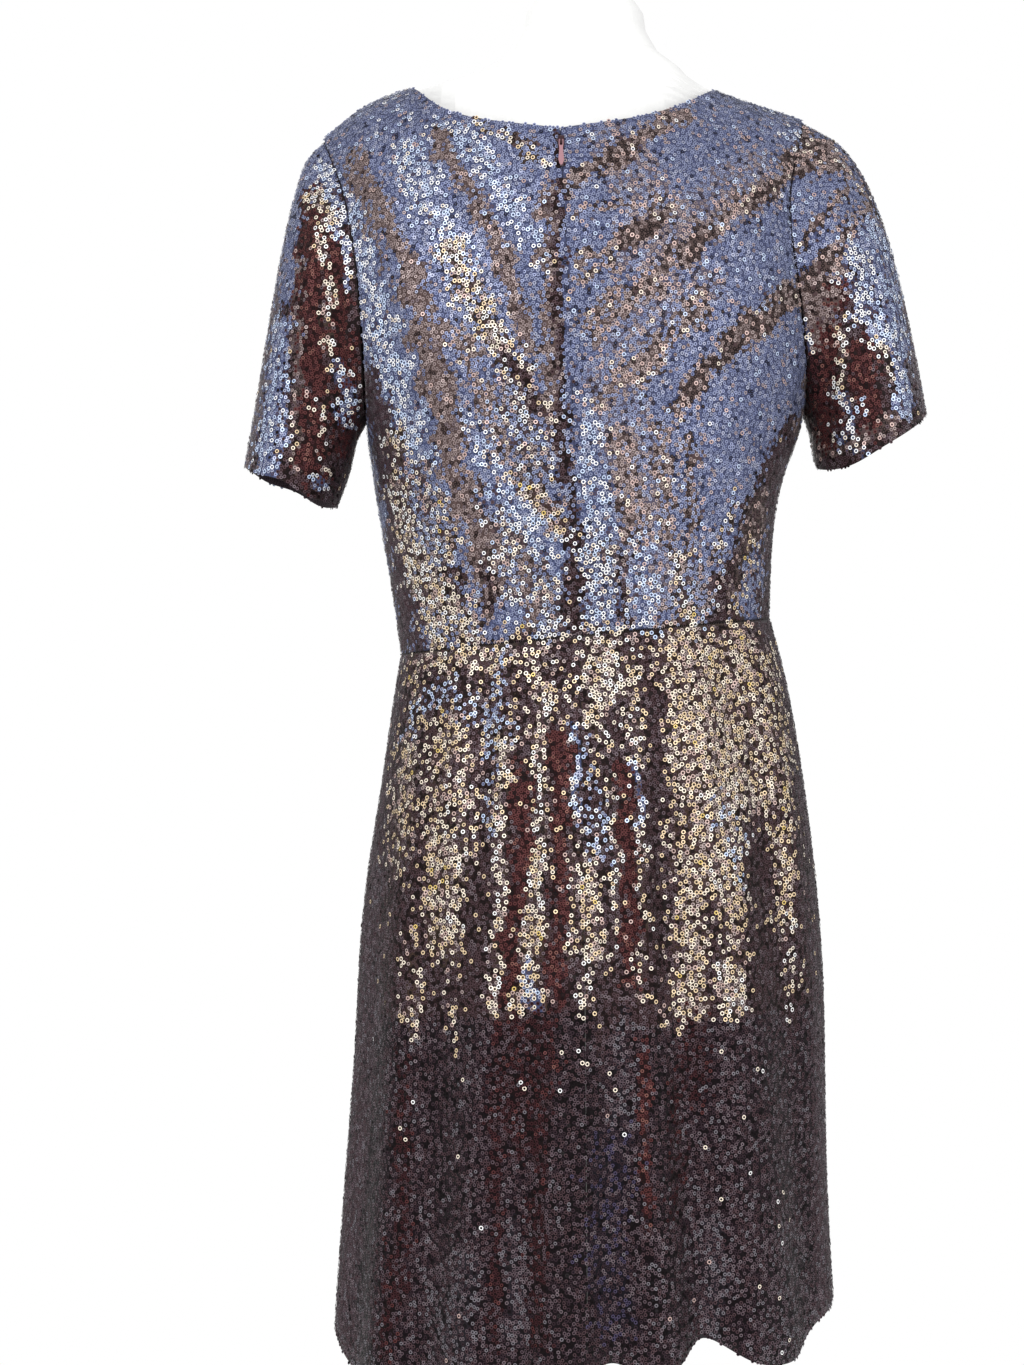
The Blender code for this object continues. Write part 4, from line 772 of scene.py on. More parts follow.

# %% Bands of painted reflection, highlight and shade on the sleeves
ARM_BANDS = drawn(
    Band,
    ("cap_ground_left", "blue", 0.97, 15, (208, 1350), (203, 1340), (205, 1327)),
    ("cap_ground_left_out", "blue", 0.97, 13, (215, 1330), (219, 1312), (222, 1295)),
    ("cap_blue_left", "blue", 1, 8.7, (220, 1348), (220, 1321), (220, 1299)),
    # arm_side bands: painted shade and grazing reflection along the outer edge of the sleeve
    ("arm_side_left_top", "arm_side", 0.5, 8, (232, 1320), (240, 1270)),
    ("arm_side_left", "arm_side", 0.92, 9, (246, 1230), (250, 1199), (258, 1143), (265, 1095)),
    ("arm_blue_left_top", "blue", 1, 11, (227, 1310), (231, 1267), (236, 1222)),
    ("arm_blue_left", "lilac", 1, 11, (238, 1200), (240, 1164), (245, 1116), (250, 1085)),
    # arm_edge bands: painted shade at the sleeve's outline
    ("arm_edge_left_top", "arm_side", 0.45, 3.4, (243, 1290), (249, 1240)),
    ("arm_edge_left", "arm_side", 0.85, 3.6, (252, 1218), (257, 1185), (263, 1140), (269, 1095)),
    ("arm_taupe_left", "taupe", 0.6, 5.4, (222, 1257), (222, 1202), (224, 1155)),
    ("arm_wine_1", "wine", 1, 10.9, (213, 1304), (212, 1217), (211, 1155), (213, 1085)),
    ("arm_wine_2", "wine", 1, 9.4, (195, 1284), (189, 1200), (184, 1141), (189, 1103)),
    ("arm_dark_left", "plum", 0.8, 6.5, (174, 1205), (172, 1160), (174, 1124)),
    ("cap_white_left", "white", 0.85, 7.1, (200, 1325), (207, 1322), (210, 1313), (208, 1301)),
    ("cap_pale_left", "pale", 0.8, 7.8, (207, 1322), (201, 1314), (195, 1301)),
    ("cap_cream_left", "cream", 0.85, 7, (210, 1299), (206, 1287), (199, 1278)),
    ("cap_cream_mid", "cream", 0.6, 7, (203, 1305), (201, 1292), (199, 1281)),
    ("arm_seam_white", "white", 0.85, 5.2,
     (195, 1298), (192, 1286), (190, 1278), (192, 1270), (188, 1263)),
    ("arm_seam_white_low", "white", 0.8, 4, (186, 1264), (187, 1255), (184, 1235), (182, 1227)),
    ("arm_cream_1", "cream", 0.85, 3.9, (206, 1278), (205, 1268), (205, 1258)),
    ("arm_yellow_dots", "cream", 0.8, 4.4, (204, 1252), (203, 1244)),
    ("arm_cream_2", "cream", 0.75, 5, (199, 1226), (198, 1216), (200, 1207), (201, 1197)),
    ("arm_dots_low", "cream", 0.7, 3.9, (203, 1190), (198, 1182), (197, 1176)),
    ("arm_white_low", "white", 0.62, 6.2, (190, 1164), (185, 1148), (182, 1135)),
    ("arm_blue_low", "pale", 0.6, 4.7, (191, 1134), (189, 1122)),
    ("arm_cream_few", "cream", 0.16, 6.2, (208, 1140), (207, 1109), (203, 1086)),
    ("arm_blue_foot", "pale", 0.7, 4.7, (213, 1080), (206, 1072)),
    ("arm_black_left", "black", 0.7, 3.1, (227, 1155), (225, 1116), (224, 1085)),
    ("arm_cream_edge", "cream", 0.4, 3.1, (231, 1132), (228, 1100)),
    ("cap_ground_right", "blue", 1, 26, (-172, 1357), (-172, 1312), (-170, 1270), (-175, 1245)),
    ("cap_ground_right_out", "blue", 1, 22, (-200, 1322), (-208, 1284), (-212, 1262)),
    ("cap_fringe_right", "tan", 0.7, 4.6,
     (-173, 1359), (-188, 1349), (-203, 1333), (-217, 1310), (-226, 1283), (-235, 1259)),
    ("cap_taupe_right", "tan", 0.9, 12.6, (-170, 1349), (-182, 1342), (-191, 1332), (-196, 1325)),
    ("cap_taupe_right_in", "tan", 0.75, 9.4, (-168, 1329), (-175, 1325), (-181, 1330)),
    ("cap_black_right", "black", 0.85, 7.5, (-170, 1320), (-178, 1330), (-182, 1343)),
    ("cap_blue_1", "blue", 0.9, 10, (-166, 1276), (-180, 1292), (-196, 1312)),
    ("cap_taupe_1", "tan", 0.9, 4.6,
     (-170, 1260), (-178, 1270), (-189, 1282), (-198, 1296), (-203, 1307)),
    ("cap_black_1", "black", 0.8, 4.6, (-167, 1258), (-173, 1265), (-180, 1275), (-188, 1281)),
    ("cap_taupe_2", "taupe", 0.95, 14, (-167, 1215), (-175, 1223), (-188, 1233)),
    ("cap_taupe_3", "tan", 0.9, 8.5, (-184, 1245), (-196, 1257), (-204, 1268), (-211, 1284)),
    ("cap_blue_2", "blue", 0.85, 5.5, (-168, 1250), (-184, 1264), (-198, 1280), (-206, 1292)),
    ("cap_black_2", "black", 0.8, 6, (-175, 1236), (-186, 1247), (-189, 1253)),
    ("cap_black_3", "black", 0.6, 7, (-207, 1278), (-213, 1282), (-216, 1276)),
    ("cap_black_4", "black", 0.55, 12.4, (-175, 1227), (-181, 1232)),
    # painted shade and grazing reflection along the outer edge of the right sleeve
    ("arm_side_right", "arm_side", 0.95, 11,
     (-240, 1275), (-252, 1230), (-262, 1180), (-266, 1140)),
    ("arm_blue_out", "lilac", 0.9, 9, (-230, 1276), (-239, 1240), (-246, 1206), (-250, 1185)),
    ("arm_lilac", "lilac", 0.95, 12.5, (-219, 1273), (-223, 1241), (-226, 1209), (-229, 1186)),
    ("arm_silver", "white", 0.6, 11.6, (-212, 1248), (-216, 1225), (-219, 1201)),
    ("arm_silver_dots", "white", 0.5, 9, (-199, 1232), (-206, 1219), (-213, 1211)),
    ("arm_wine_3", "wine", 1, 10.2, (-184, 1187), (-189, 1141), (-191, 1110)),
    ("arm_wine_warm", "wine", 0.8, 8, (-193, 1226), (-193, 1200), (-194, 1170)),
    ("arm_brown", "taupe", 0.6, 6.2, (-190, 1224), (-192, 1200)),
    ("arm_brown_in", "taupe", 0.6, 9, (-172, 1216), (-177, 1197), (-179, 1186)),
    ("arm_wine_deep", "wine_deep", 0.9, 7.5, (-175, 1176), (-178, 1150), (-181, 1110)),
    ("arm_seam_pale_right", "white", 0.75, 2.8, (-169, 1209), (-171, 1196), (-173, 1180)),
    ("arm_gold_line", "cream", 0.95, 4.8, (-201, 1192), (-200, 1168), (-199, 1140)),
    ("arm_wine_4", "wine", 1, 10.9, (-214, 1178), (-219, 1147), (-221, 1116)),
    ("arm_silver_low", "white", 0.6, 6.2, (-200, 1140), (-205, 1117), (-210, 1101)),
    ("arm_silver_foot", "pale", 0.35, 5.4, (-215, 1139), (-218, 1124)),
    ("arm_cream_3", "cream", 0.7, 4.7, (-218, 1182), (-232, 1177), (-237, 1159)),
    ("arm_blue_right", "lilac", 0.95, 7, (-243, 1187), (-247, 1156), (-248, 1128)),
    ("arm_silver_right", "white", 0.6, 5.5, (-234, 1194), (-241, 1179), (-249, 1162)),
    ("arm_edge_right", "arm_side", 0.9, 4, (-248, 1262), (-258, 1222), (-267, 1180), (-272, 1145)),
    ("arm_black_foot", "black", 0.7, 6.3,
     (-177, 1129), (-184, 1105), (-199, 1100), (-221, 1111), (-244, 1124)),
)
print(len(ARM_BANDS), "bands on the sleeves")

# %% Single glints on the lower skirt
# Across and up in mm, as seen from behind; each marks a painted glint, a ring set white or cream
GLINTS = [
    (163, 643), (134, 650), (100, 651), (132, 605), (140, 584), (93, 625), (51, 625), (47, 619),
    (20, 647), (20, 620), (138, 577), (97, 569), (79, 518), (-14, 631), (-17, 620), (-26, 586),
    (-99, 646), (-126, 632), (-131, 630), (-115, 596), (-87, 574), (-120, 557), (-98, 536),
    (-147, 536), (-141, 529), (-153, 513), (-142, 512), (-146, 498), (-127, 471), (-142, 460),
    (9, 649), (5, 643), (-150, 427), (-144, 420),
]
GLINT_REACH_MM = 4.0
print(len(GLINTS), "single glints")

# %% [markdown]
# ## Where a streak ends and the next begins
# A drawn band would have clean edges, and real ones are ragged. So every sequin's place is nudged
# by a slow wandering value before it is looked up, and a band claims it only by chance, less and
# less towards its edge. The streaks of the front meet those of the back at the side seams, and each
# side has its own chance.

# %% Choosing a tone for each sequin
# Below this height the film is painted dark, a painted reflection of the floor
DARK_REFLECTION_BELOW_MM = 664.0  # under this the film lies flat and dark
# Above this height a few rings everywhere are painted as highlights
LIVELY_ABOVE_MM = 790.0  # over this a few rings flash everywhere
LIVELY_FADE_MM = 120  # over this height chance alone decides where that begins
FOOT_RAGGED_MM, FOOT_SIZE_MM = 7, 40
RAGGED_MM, RAGGED_SIZE_MM, RAGGED_BY_CHANCE = 3.2, 26, 1.2
GOLDEN = 0.618  # gives every band a chance of its own from one draw
NET_CLAIM = 0.4  # a band also colours the net under it where its claim is over this
SEEDS = 10  # every panel has this many seeds of its own
TONE_SIZE_MM = 9
TONE_BY_CHANCE, TONE_BY_PLACE = 0.72, 0.12  # tones lie in small groups


def mixture_at(panel, places, seed, chance=None):
    """The number of the mixture at each place. The last band that claims a place has it.

    With no chance given, as for the net, a band has every place that it claims strongly enough.
    """
    spots = places[:, [0, 2]] / MM
    behind = places[:, 1] > 0
    bands = ARM_BANDS if panel.node.startswith("sleeve") else BODY_BANDS
    nudge = np.stack([wander(spots, RAGGED_SIZE_MM, seed + i) for i in (1, 2)], 1)
    by_chance = chance is not None
    if not by_chance:
        chance = np.full(len(places), 0.5)
    spots = spots + RAGGED_MM * (nudge + RAGGED_BY_CHANCE * (chance[:, None] - 0.5))
    mixture = np.full(len(places), mixture_names.index(panel.ground))
    # On the skirt the film is painted calmer below the hip and dark lower down, a painted reflection
    # of the floor
    if panel.ground == "hip":
        height = spots[:, 1] + FOOT_RAGGED_MM * wander(spots, FOOT_SIZE_MM, seed + 3)
        calm = height < LIVELY_ABOVE_MM + LIVELY_FADE_MM * (chance - 0.5)
        mixture[calm] = mixture_names.index("plum")
        mixture[height < DARK_REFLECTION_BELOW_MM] = mixture_names.index("low")
    for number, band in enumerate(bands):
        gap, _ = reach(band.path, spots)
        claim = band.strength * np.exp(-((gap / band.width) ** 3))
        if band.name.startswith("zip_"):
            claim = claim * behind
        lot = (chance + number * GOLDEN) % 1 if by_chance else NET_CLAIM
        mixture[lot < claim] = mixture_names.index(band.mixture)
    return mixture


def paint_glints(panel, places, tones):
    """Paints the sequin nearest to each glint on the back of the skirt white or cream, a painted
    highlight.
    """
    if not panel.node.startswith("skirt_back"):
        return
    spots = tree_of([(x, 0, z) for x, _, z in places])
    for number, (x, z) in enumerate(GLINTS):
        _, nearest, gap = spots.find((x * MM, 0, z * MM))
        if gap < GLINT_REACH_MM * MM:
            tones[nearest] = tone_number["cream" if number % 3 else "white"]


def choose_tones(mixture, places, seed):
    """The number of the film tone of each sequin, drawn from the mixture at its place."""
    draw = np.random.default_rng(seed)
    by_place = wander(places[:, [0, 2]] / MM, TONE_SIZE_MM, seed + 4)
    lot = TONE_BY_CHANCE * draw.random(len(places)) + TONE_BY_PLACE * by_place
    lot = np.argsort(np.argsort(lot)) / len(places)
    tones = np.zeros(len(places), int)
    for number, kind in enumerate(MIXTURES):
        here = mixture == number
        limits = np.cumsum(list(kind.shares.values())) / sum(kind.shares.values())
        picked = np.searchsorted(limits, lot[here], side="right").clip(0, len(limits) - 1)
        tones[here] = np.array([tone_number[tone] for tone in kind.shares])[picked]
    return tones


print("tones are chosen sequin by sequin")

# %% [markdown]
# ## One sequin, modelled once
# The plain sequin is a six-sided disc with a dark four-sided hole lying just proud of it, six
# triangles in all, because there are more than a hundred thousand. The hole is a patch in the colour
# of what lies under it, darkened as painted shade. The rings painted bright as highlights, which
# flash, show their ring far more clearly, so they are eight-sided with a six-sided hole.

# %% The two sequins
SEQUIN_RADIUS = 1.5 * MM
HOLE_RADIUS = 0.88 * MM
HOLE_PROUD = 0.12 * MM
Shape = namedtuple("Shape", "corners faces")


def model_sequin(sides, hole_sides):
    """The corner places of a sequin and its hole, and the corners of each face."""
    deselect()
    bpy.ops.mesh.primitive_circle_add(vertices=sides, radius=SEQUIN_RADIUS, fill_type="NGON")
    sequin = bpy.context.object
    bpy.ops.object.mode_set(mode="EDIT")
    bpy.ops.mesh.primitive_circle_add(
        vertices=hole_sides,
        radius=HOLE_RADIUS,
        fill_type="NGON",
        location=(0, 0, HOLE_PROUD),
    )
    bpy.ops.object.mode_set(mode="OBJECT")
    corners = read_vectors(sequin.data.vertices, "co")
    faces = [list(face.vertices) for face in sequin.data.polygons]
    faces = [f if sequin.data.polygons[i].normal.z > 0 else f[::-1] for i, f in enumerate(faces)]
    bpy.data.objects.remove(sequin)
    return Shape(corners, sorted(faces, key=len, reverse=True))


PLAIN = model_sequin(6, 4)
FLASHING = model_sequin(8, 6)
print("plain sequin", len(PLAIN.corners), "corners, flashing sequin", len(FLASHING.corners))

# %% [markdown]
# ## Where the sequins are sewn
# A machine sews the sequins in rows, but the net stretches and the rows waver until the cover looks
# even and unruly. Scattering by Poisson disc gives that: no two places lie nearer than a spacing.
# Near a seam the sequins are left out, as a maker clears them away so that the seam lies flat. The
# thread of the armholes and the waist shows as a fine dark dotted line, so its stitches have places
# of their own along the edges.

# %% Scattering places over a skin
SPACING_MM = 2.55
MOST_PER_M2 = 3000000
SEAM_FREE_MM = 1.2
EDGE_FREE_MM = 0.6
SEWN_MM = 2.2  # edges nearer to each other than this are sewn together

sower = bpy.data.node_groups.new("sew_places", "GeometryNodeTree")
sower.interface.new_socket("Cloth", in_out="INPUT", socket_type="NodeSocketGeometry")
sower.interface.new_socket("Places", in_out="OUTPUT", socket_type="NodeSocketGeometry")
cloth_in = add_node(sower, "NodeGroupInput")
spread = add_node(
    sower,
    "GeometryNodeDistributePointsOnFaces",
    {
        "Mesh": cloth_in.outputs["Cloth"],
        "Distance Min": SPACING_MM * MM,
        "Density Max": MOST_PER_M2,
        "Seed": 7,
    },
    distribute_method="POISSON",
)
kept = add_node(
    sower,
    "GeometryNodeStoreNamedAttribute",
    {"Geometry": spread.outputs["Points"], "Name": "lie", "Value": spread.outputs["Normal"]},
    data_type="FLOAT_VECTOR",
    domain="POINT",
)
as_mesh = add_node(sower, "GeometryNodePointsToVertices", {"Points": kept.outputs["Geometry"]})
add_node(sower, "NodeGroupOutput", {"Places": as_mesh.outputs["Mesh"]})


def sew_places(skin):
    """Places for sequins on a skin, and the cloth's direction at each."""
    ground = bpy.data.objects.new("ground", skin.data.copy())
    bpy.context.scene.collection.objects.link(ground)
    apply_modifier(ground, "NODES", node_group=sower)
    places = read_vectors(ground.data.vertices, "co")
    lie = read_vectors(ground.data.attributes["lie"].data, "vector")
    bpy.data.objects.remove(ground)
    return places, lie / np.linalg.norm(lie, axis=1, keepdims=True)


edges = {
    name: [skin.data.vertices[i].co.copy() for i in open_edges(skin.data)]
    for name, skin in skins.items()
}


def other_edges(panel):
    """A search tree over the edges of all the other panels."""
    return tree_of([p for name, points in edges.items() if name != panel.node for p in points])


def clear_of_edges(panel, places):
    """Which places keep clear of the seams and of the open edges."""
    others = other_edges(panel)
    seam = tree_of([p for p in edges[panel.node] if others.find(p)[2] < SEWN_MM * MM])
    rim = tree_of(edges[panel.node])
    off_seam = np.array([seam.find(p)[2] > SEAM_FREE_MM * MM for p in places])
    off_rim = np.array([rim.find(p)[2] > EDGE_FREE_MM * MM for p in places])
    return off_seam & off_rim


print("places are sown at least", SPACING_MM, "mm apart")

# %% Places of the stitches
STITCH_MM = 1.5
WAIST_BELOW_MM = 985.0  # on the bodice only the waist seam shows its stitches
STEEPEST = 0.5  # what climbs more than this share of its length is a side edge and not the waist


def shows_stitches(panel, ends, others):
    """Whether a piece of edge between two vertices shows its stitches."""
    if panel.node.startswith("sleeve"):
        return max(others.find(end.co)[2] for end in ends) < SEWN_MM * MM
    run = ends[1].co - ends[0].co
    at_waist = max(end.co.z for end in ends) < WAIST_BELOW_MM * MM
    return at_waist and abs(run.z) < STEEPEST * run.length


def stitch_places(panel):
    """Places of the stitches along the seams of a panel, and the cloth's direction at each."""
    mesh = skins[panel.node].data
    others = other_edges(panel)
    places, lie = [], []
    for pair in rim_pairs(mesh):
        ends = [mesh.vertices[i] for i in pair]
        if not shows_stitches(panel, ends, others):
            continue
        count = round((ends[1].co - ends[0].co).length / (STITCH_MM * MM))
        for number in range(count):
            share = (number + 0.5) / count
            places.append(ends[0].co.lerp(ends[1].co, share))
            lie.append(ends[0].normal.lerp(ends[1].normal, share).normalized())
    return np.array(places), np.array(lie)


print("stitches", STITCH_MM, "mm apart")

# %% [markdown]
# ## Sewing them on
# Each ring is held by one thread, so it tilts and spins as it likes, and a ring painted bright as a
# highlight stands a little proud. Instances on points would be lighter, but the model is exported
# as plain meshes, so the rings of a panel are copied corner by corner into one mesh, with a finish
# for each tone.

# %% One mesh of many sequins
TILT_DEG, TILT_MOST = 9.1, 2  # the usual tilt, and the most as a multiple of it
Batch = namedtuple("Batch", "shape corners tones mixture")


def turned(directions, draw):
    """Three directions for each sequin, tilted a little at random and spun."""
    count = len(directions)
    side = np.cross(directions, draw.normal(size=(count, 3)))
    side /= np.linalg.norm(side, axis=1, keepdims=True)
    tilt = np.tan(np.radians(TILT_DEG) * draw.normal(size=count).clip(-TILT_MOST, TILT_MOST))
    up = directions + side * tilt[:, None]
    up /= np.linalg.norm(up, axis=1, keepdims=True)
    across = np.cross(up, draw.normal(size=(count, 3)))
    across /= np.linalg.norm(across, axis=1, keepdims=True)
    return across, np.cross(up, across), up


def sequin_corners(shape, places, axes, size):
    """The corners of many sequins as rows of an array."""
    total = places[:, None, :]
    for i, axis in enumerate(axes):
        total = total + shape.corners[None, :, i, None] * axis[:, None, :] * size[:, None, None]
    return total.reshape(-1, 3)


def add_sequins(name, batches):
    """One mesh of all the batches of sequins."""
    corner_numbers, sizes, slots = [], [], []
    first = 0
    for batch in batches:
        starts = first + len(batch.shape.corners) * np.arange(len(batch.tones))
        loops = np.concatenate(batch.shape.faces)
        corner_numbers.append((starts[:, None] + loops[None, :]).ravel())
        sizes.append(np.tile([len(f) for f in batch.shape.faces], len(batch.tones)))
        slots.append(np.stack([batch.tones, hole_number[batch.mixture]], 1).ravel())
        first += len(batch.corners)
    points = np.concatenate([batch.corners for batch in batches])
    corner_numbers, sizes, slots = map(np.concatenate, (corner_numbers, sizes, slots))
    used = np.unique(slots)
    mesh = bpy.data.meshes.new(name)
    for number in used:
        mesh.materials.append(films[number])
    mesh.vertices.add(len(points))
    mesh.vertices.foreach_set("co", points.ravel())
    mesh.loops.add(len(corner_numbers))
    mesh.loops.foreach_set("vertex_index", corner_numbers.astype(np.int32))
    mesh.polygons.add(len(sizes))
    mesh.polygons.foreach_set("loop_start", (np.cumsum(sizes) - sizes).astype(np.int32))
    mesh.polygons.foreach_set("material_index", np.searchsorted(used, slots).astype(np.int32))
    mesh.update(calc_edges=True)
    made = bpy.data.objects.new(name, mesh)
    bpy.context.scene.collection.objects.link(made)
    return made


print("sequins tilt up to", round(TILT_DEG * TILT_MOST), "degrees")

# %% Keeping the flashes apart
# rings painted bright as highlights, nearer than this, would run together
FLASH_APART_MM = 2.8  # lit rings nearer than this would run together
flashes = np.array([tone.flash for tone in TONES])


def calmest_tone(mixture):
    """The number of the commonest tone in a mixture among those that don't flash."""
    calm = [name for name in mixture.shares if not flashes[tone_number[name]]]
    return tone_number[max(calm, key=mixture.shares.get)]


calmest = [calmest_tone(mixture) for mixture in MIXTURES]


def part_flashes(places, mixture, tones):
    """Where two rings painted as highlights would run together, the later one takes its mixture's
    calmest tone.
    """
    lit = np.flatnonzero(flashes[tones])
    near = tree_of(places[lit])
    kept = np.ones(len(lit), bool)
    for number, place in enumerate(places[lit]):
        found = near.find_range(place, FLASH_APART_MM * MM)
        if any(other < number and kept[other] for _, other, _ in found):
            kept[number] = False
            tones[lit[number]] = calmest[mixture[lit[number]]]


print(int(flashes.sum()), "of the tones flash")

# %% Sewing the sequins on
LEAST_LIFT_MM, MOST_LIFT_MM, FLASH_LIFT_MM = 0.25, 0.85, 0.55
SMALLEST, LARGEST = 0.95, 1.05
# a ring painted as a highlight is drawn larger, as a lit ring flares
FLASH_SIZE = 1.12  # a lit ring flares and looks larger than its neighbours
STITCH_LIFT_MM, STITCH_SIZE = 1.1, 0.42
FIRST_DRAW = 100


def sew_rings(panel, seed, draw):
    """The rings of a panel in two batches: the plain ones and those that flash."""
    places, lie = sew_places(skins[panel.node])
    keep = clear_of_edges(panel, places)
    places, lie = places[keep], lie[keep]
    mixture = mixture_at(panel, places, SEEDS * seed, draw.random(len(places)))
    tones = choose_tones(mixture, places, SEEDS * seed)
    paint_glints(panel, places, tones)
    part_flashes(places, mixture, tones)
    bright = flashes[tones]
    lift = draw.uniform(LEAST_LIFT_MM, MOST_LIFT_MM, len(places)) + FLASH_LIFT_MM * bright
    places = places + lie * (MM * lift)[:, None]
    axes = turned(lie, draw)
    size = draw.uniform(SMALLEST, LARGEST, len(places)) * np.where(bright, FLASH_SIZE, 1.0)
    batches = []
    for shape, chosen in ((PLAIN, ~bright), (FLASHING, bright)):
        corners = sequin_corners(shape, places[chosen], [a[chosen] for a in axes], size[chosen])
        batches.append(Batch(shape, corners, tones[chosen], mixture[chosen]))
    return batches


def sew_stitches(panel, draw):
    """The stitches of a panel in one batch."""
    places, lie = stitch_places(panel)
    places = places + lie * STITCH_LIFT_MM * MM
    size = np.full(len(places), STITCH_SIZE)
    corners = sequin_corners(PLAIN, places, turned(lie, draw), size)
    thread = np.full(len(places), tone_number["black"])
    return Batch(PLAIN, corners, thread, np.full(len(places), mixture_names.index("plum")))


sequins = {}
rings, triangles = 0, 0
for seed, panel in enumerate(PANELS, 1):
    draw = np.random.default_rng(FIRST_DRAW + seed)
    batches = sew_rings(panel, seed, draw)
    plain, flashing = [len(batch.tones) for batch in batches]
    if not panel.node.startswith("skirt"):
        batches.append(sew_stitches(panel, draw))
    piece = add_sequins("sequins_" + panel.node, batches)
    sequins[panel.node] = piece
    count = sum(len(face.vertices) - 2 for face in piece.data.polygons)
    rings, triangles = rings + plain + flashing, triangles + count
    print(piece.name, plain, "plain rings,", flashing, "flashing,", count, "triangles")
print(rings, "rings in all,", triangles, "triangles with the stitches")

# %% [markdown]
# ## The net under them
# The ground is a dark plum net with hexagonal holes of about a millimetre. It shows only in the
# seams, along the edges and inside the dress, so Solidify gives it a thin wall inwards, and its
# threads are drawn with a Voronoi pattern: the borders between cells are the threads. The gaps are
# painted darker, as painted shade in the holes, and outside the net takes the under colour of the
# streak above it, with its painted shade and reflection.

# %% Tulle net
NET_CELL_MM = 1.6  # real tulle is nearer 1 mm; drawn a little coarser so that it can be seen
NET_THICK_MM = 0.9
NET_UNEVEN = 0.35
THREAD_FROM, THREAD_TO = 0.06, 0.16  # where a thread ends and the gap is open, as shares of a cell
# the gaps of the net are darker: painted shade in its holes
THREAD_SHADE, GAP_PAINTED_SHADE = 1.06, 0.8
NET_STRENGTH, NET_DEPTH_MM = 0.4, 0.3
NET_ROUGHNESS, NET_SHEEN = 0.75, 0.15


def tulle(name, colour, between):
    """Net with its threads in one colour and the gaps between them in another."""
    # Nylon tulle, knitted: dull, with a little sheen, so that only the rings on it catch the light
    made, tree, shader = new_finish(name, colour, NET_ROUGHNESS, shine=HOLE_SHINE)
    shader.inputs["Sheen Weight"].default_value = NET_SHEEN
    uneven = {"Randomness": NET_UNEVEN}
    kind = "ShaderNodeTexVoronoi"
    cells = pattern(tree, kind, NET_CELL_MM, uneven, feature="DISTANCE_TO_EDGE")
    ends = {"Value": cells.outputs["Distance"], "From Min": THREAD_FROM, "From Max": THREAD_TO}
    gaps = add_node(tree, "ShaderNodeMapRange", ends).outputs["Result"]
    colours = (colour, between)
    vary_surface(tree, shader, gaps, colours, NET_STRENGTH, NET_DEPTH_MM, invert=True)
    return made


# Under each streak the net takes the streak's under colour, with its painted shade and reflection
nets = []
for mixture in MIXTURES:
    shades = [darker(mixture.under, share) for share in (THREAD_SHADE, GAP_PAINTED_SHADE)]
    nets.append(tulle("net_" + mixture.name, *shades))
# Inside and on the rim the net is plum, its gaps painted darker as shade in the holes
nets.append(tulle("plum_nylon_tulle", "#3d3138", "#1c1519"))

for seed, panel in enumerate(PANELS, 1):
    skin = skins[panel.node]
    for net in nets:
        skin.data.materials.append(net)
    centres = read_vectors(skin.data.polygons, "center")
    mixture = mixture_at(panel, centres, SEEDS * seed)
    skin.data.polygons.foreach_set("material_index", mixture.astype(np.int32))
    apply_modifier(
        skin,
        "SOLIDIFY",
        thickness=NET_THICK_MM * MM,
        offset=-1.0,
        use_rim=True,
        material_offset=len(nets),
        material_offset_rim=len(nets),
    )
    print(skin.name, len(skin.data.polygons), "faces")

# %% [markdown]
# ## The closed zip
# The coil of a concealed zip lies behind the two back pieces, and shows only as a dark line where
# their edges meet. It is sewn along the inner edges of the tapes, and its place is found by
# looking at the left tape from behind. Its single teeth are too small to see, so it is one plain
# round line: a curve with a bevel, turned into a mesh.

# %% Zip coil
GRAIN_DETAIL, GRAIN_STRENGTH = 3.0, 0.3


def grained(name, colour, shaded, roughness, grain_mm, relief_mm, metallic=0.0):
    """A finish with a fine grain that shifts its colour a little and roughens its surface."""
    made, tree, shader = new_finish(name, colour, roughness, metallic)
    grain = pattern(tree, "ShaderNodeTexNoise", grain_mm, {"Detail": GRAIN_DETAIL}).outputs["Fac"]
    vary_surface(tree, shader, grain, (colour, shaded), GRAIN_STRENGTH, relief_mm)
    return made


COIL_RADIUS_MM = 0.42
COIL_STEP_MM = 4.0
COIL_ENDS_MM = (1.0, 1.8)  # how far it keeps from the tapes' foot and top
COIL_PAST_EDGE_MM = 0.1
ROW_MM = 2.0
LOOK_INSIDE_MM, LOOK_FROM = 0.8, 0.3  # the tape is looked at beside its edge, from this far behind

tape = nodes["zip_tape_left"]
tape_places = read_vectors(tape.data.vertices, "co")
low = tape_places[:, 2].min() + COIL_ENDS_MM[0] * MM
high = tape_places[:, 2].max() - COIL_ENDS_MM[1] * MM
levels = np.append(np.arange(low, high, COIL_STEP_MM * MM), high)
rim = {}
for level in levels:
    gap = abs(tape_places[:, 2] - level)
    row = tape_places[gap < gap.min() + ROW_MM * MM]
    inner = row[row[:, 0].argmin()]
    rim[inner[2]] = inner[0]
line = []
for level in levels:
    edge = np.interp(level, sorted(rim), [rim[z] for z in sorted(rim)])
    seen_from = (edge + LOOK_INSIDE_MM * MM, LOOK_FROM, level)
    found, spot, _, _ = tape.ray_cast(seen_from, (0, -1, 0))
    if found:
        line.append((edge - COIL_PAST_EDGE_MM * MM, spot.y, level))
deselect()
bpy.ops.curve.primitive_bezier_curve_add()
coil = bpy.context.object
coil.name = "zip_coil"
coil.data.splines.clear()
path = coil.data.splines.new("POLY")
path.points.add(len(line) - 1)
for point, place in zip(path.points, line):
    point.co = (*place, 1)
coil.data.bevel_depth = COIL_RADIUS_MM * MM
coil.data.bevel_resolution = 1
coil.data.use_fill_caps = True
bpy.ops.object.convert(target="MESH")
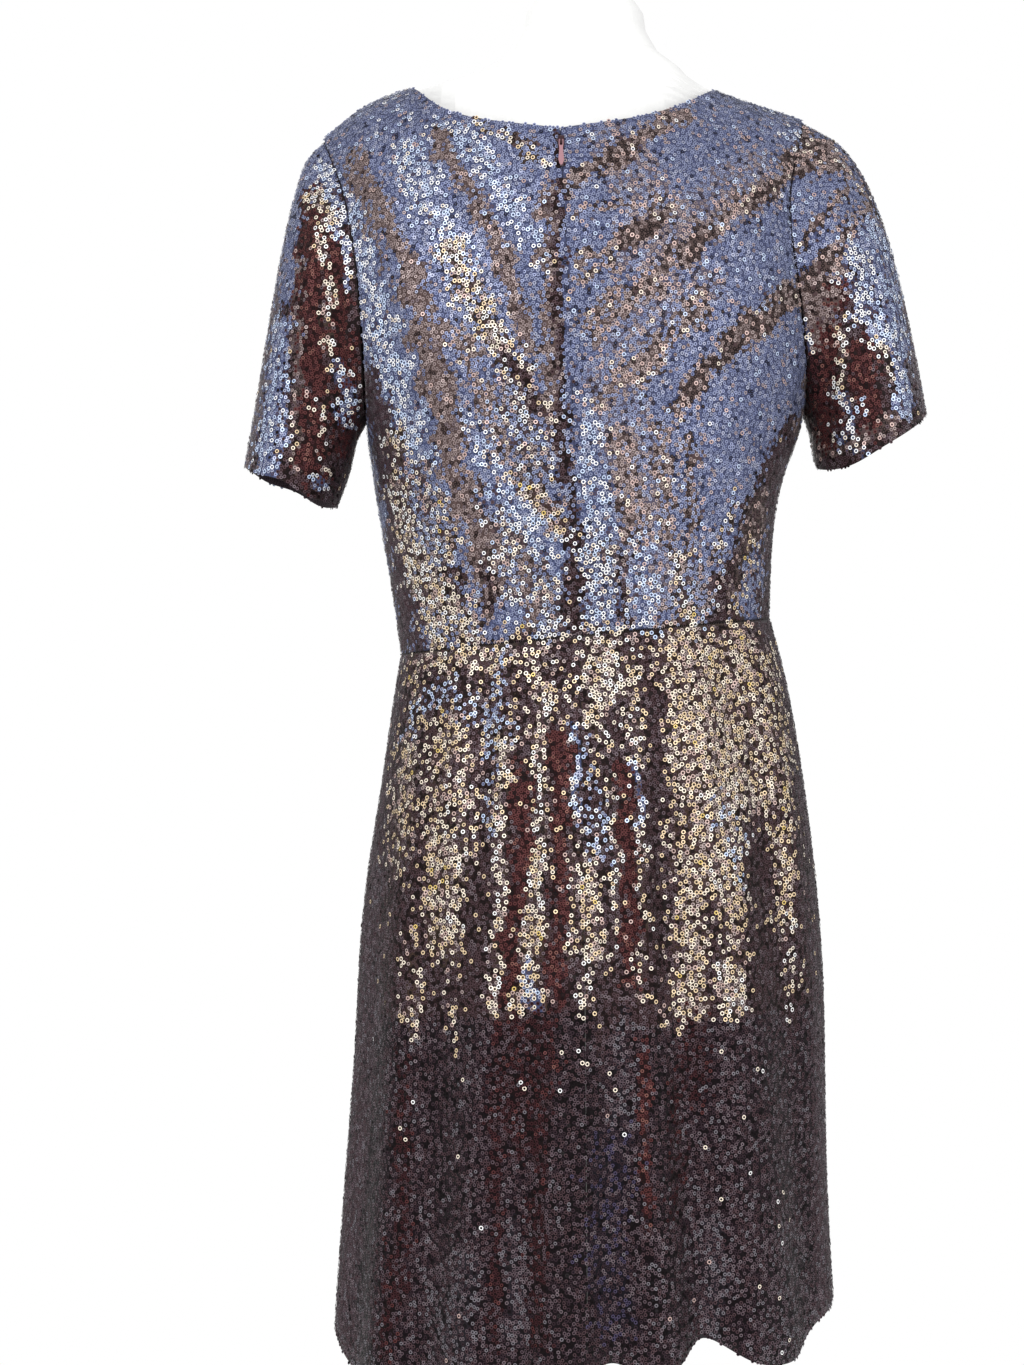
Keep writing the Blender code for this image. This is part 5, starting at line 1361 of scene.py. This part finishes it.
# Nylon thread, coiled and woven in: a dull dark line
coil.data.materials.append(grained("woven_nylon_coil", "#33212a", "#1b1015", 0.7, 0.8, 0.1))
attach(coil, "dress_and_form")
print("zip coil along", len(line), "places")

# %% Declaring the cloth
for panel in PANELS:
    skin, shine = skins[panel.node], sequins[panel.node]
    for piece in (skin, shine):
        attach(piece, "dress_and_form")
    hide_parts(panel.node)
print("declared", len(PANELS), "sheets")

# %% [markdown]
# ## Finishes of the form, the stand and the zip
# The form is a matt white moulded shell, its neck is closed by a satin grey metal cap, and the
# pole and the base are powder-coated steel. All of them, and the metal and tape of the zip, differ
# in colour, gloss and the size of their grain, so one recipe with other numbers makes them all.

# %% Form, stand and zip
FINISHES = {
    # Polystyrene moulded with a matt grain: soft white, without a highlight
    "form_torso": grained("moulded_matt_polystyrene", "#f4f4f3", "#ebebea", 0.65, 2.5, 0.1),
    # Zinc with a satin plating: grey, with one soft wide highlight
    "form_neck_cap": grained("satin_zinc", "#9c9c9c", "#8b8b8b", 0.38, 1.2, 0.05, 0.8),
    # Powder coat baked on steel: an even half-gloss with a fine pebble
    "form_pole": grained("powder_coated_steel", "#dededc", "#d2d2d0", 0.45, 0.9, 0.06),
    "form_base": grained("powder_coated_steel_base", "#dededc", "#d2d2d0", 0.45, 0.9, 0.06),
    # Polyester woven to a tape: dark and dull
    "zip_tape_left": grained("woven_polyester_left", "#2c2127", "#1d1519", 0.8, 0.6, 0.1),
    "zip_tape_right": grained("woven_polyester_right", "#2c2127", "#1d1519", 0.8, 0.6, 0.1),
    # Zinc cast and lacquered: smooth, with small glints in the lacquer's colour
    "zip_slider": grained("lacquered_zinc", "#3f2429", "#311a20", 0.36, 1.0, 0.02, 0.3),
    "zip_pull_tab": grained("lacquered_zinc_tab", "#b98c93", "#a67a84", 0.30, 1.0, 0.02, 0.4),
}
for name, finish in FINISHES.items():
    mesh = nodes[name].data
    for i in range(len(mesh.materials)):
        mesh.materials[i] = finish
print(len(FINISHES), "finishes on the packed pieces")
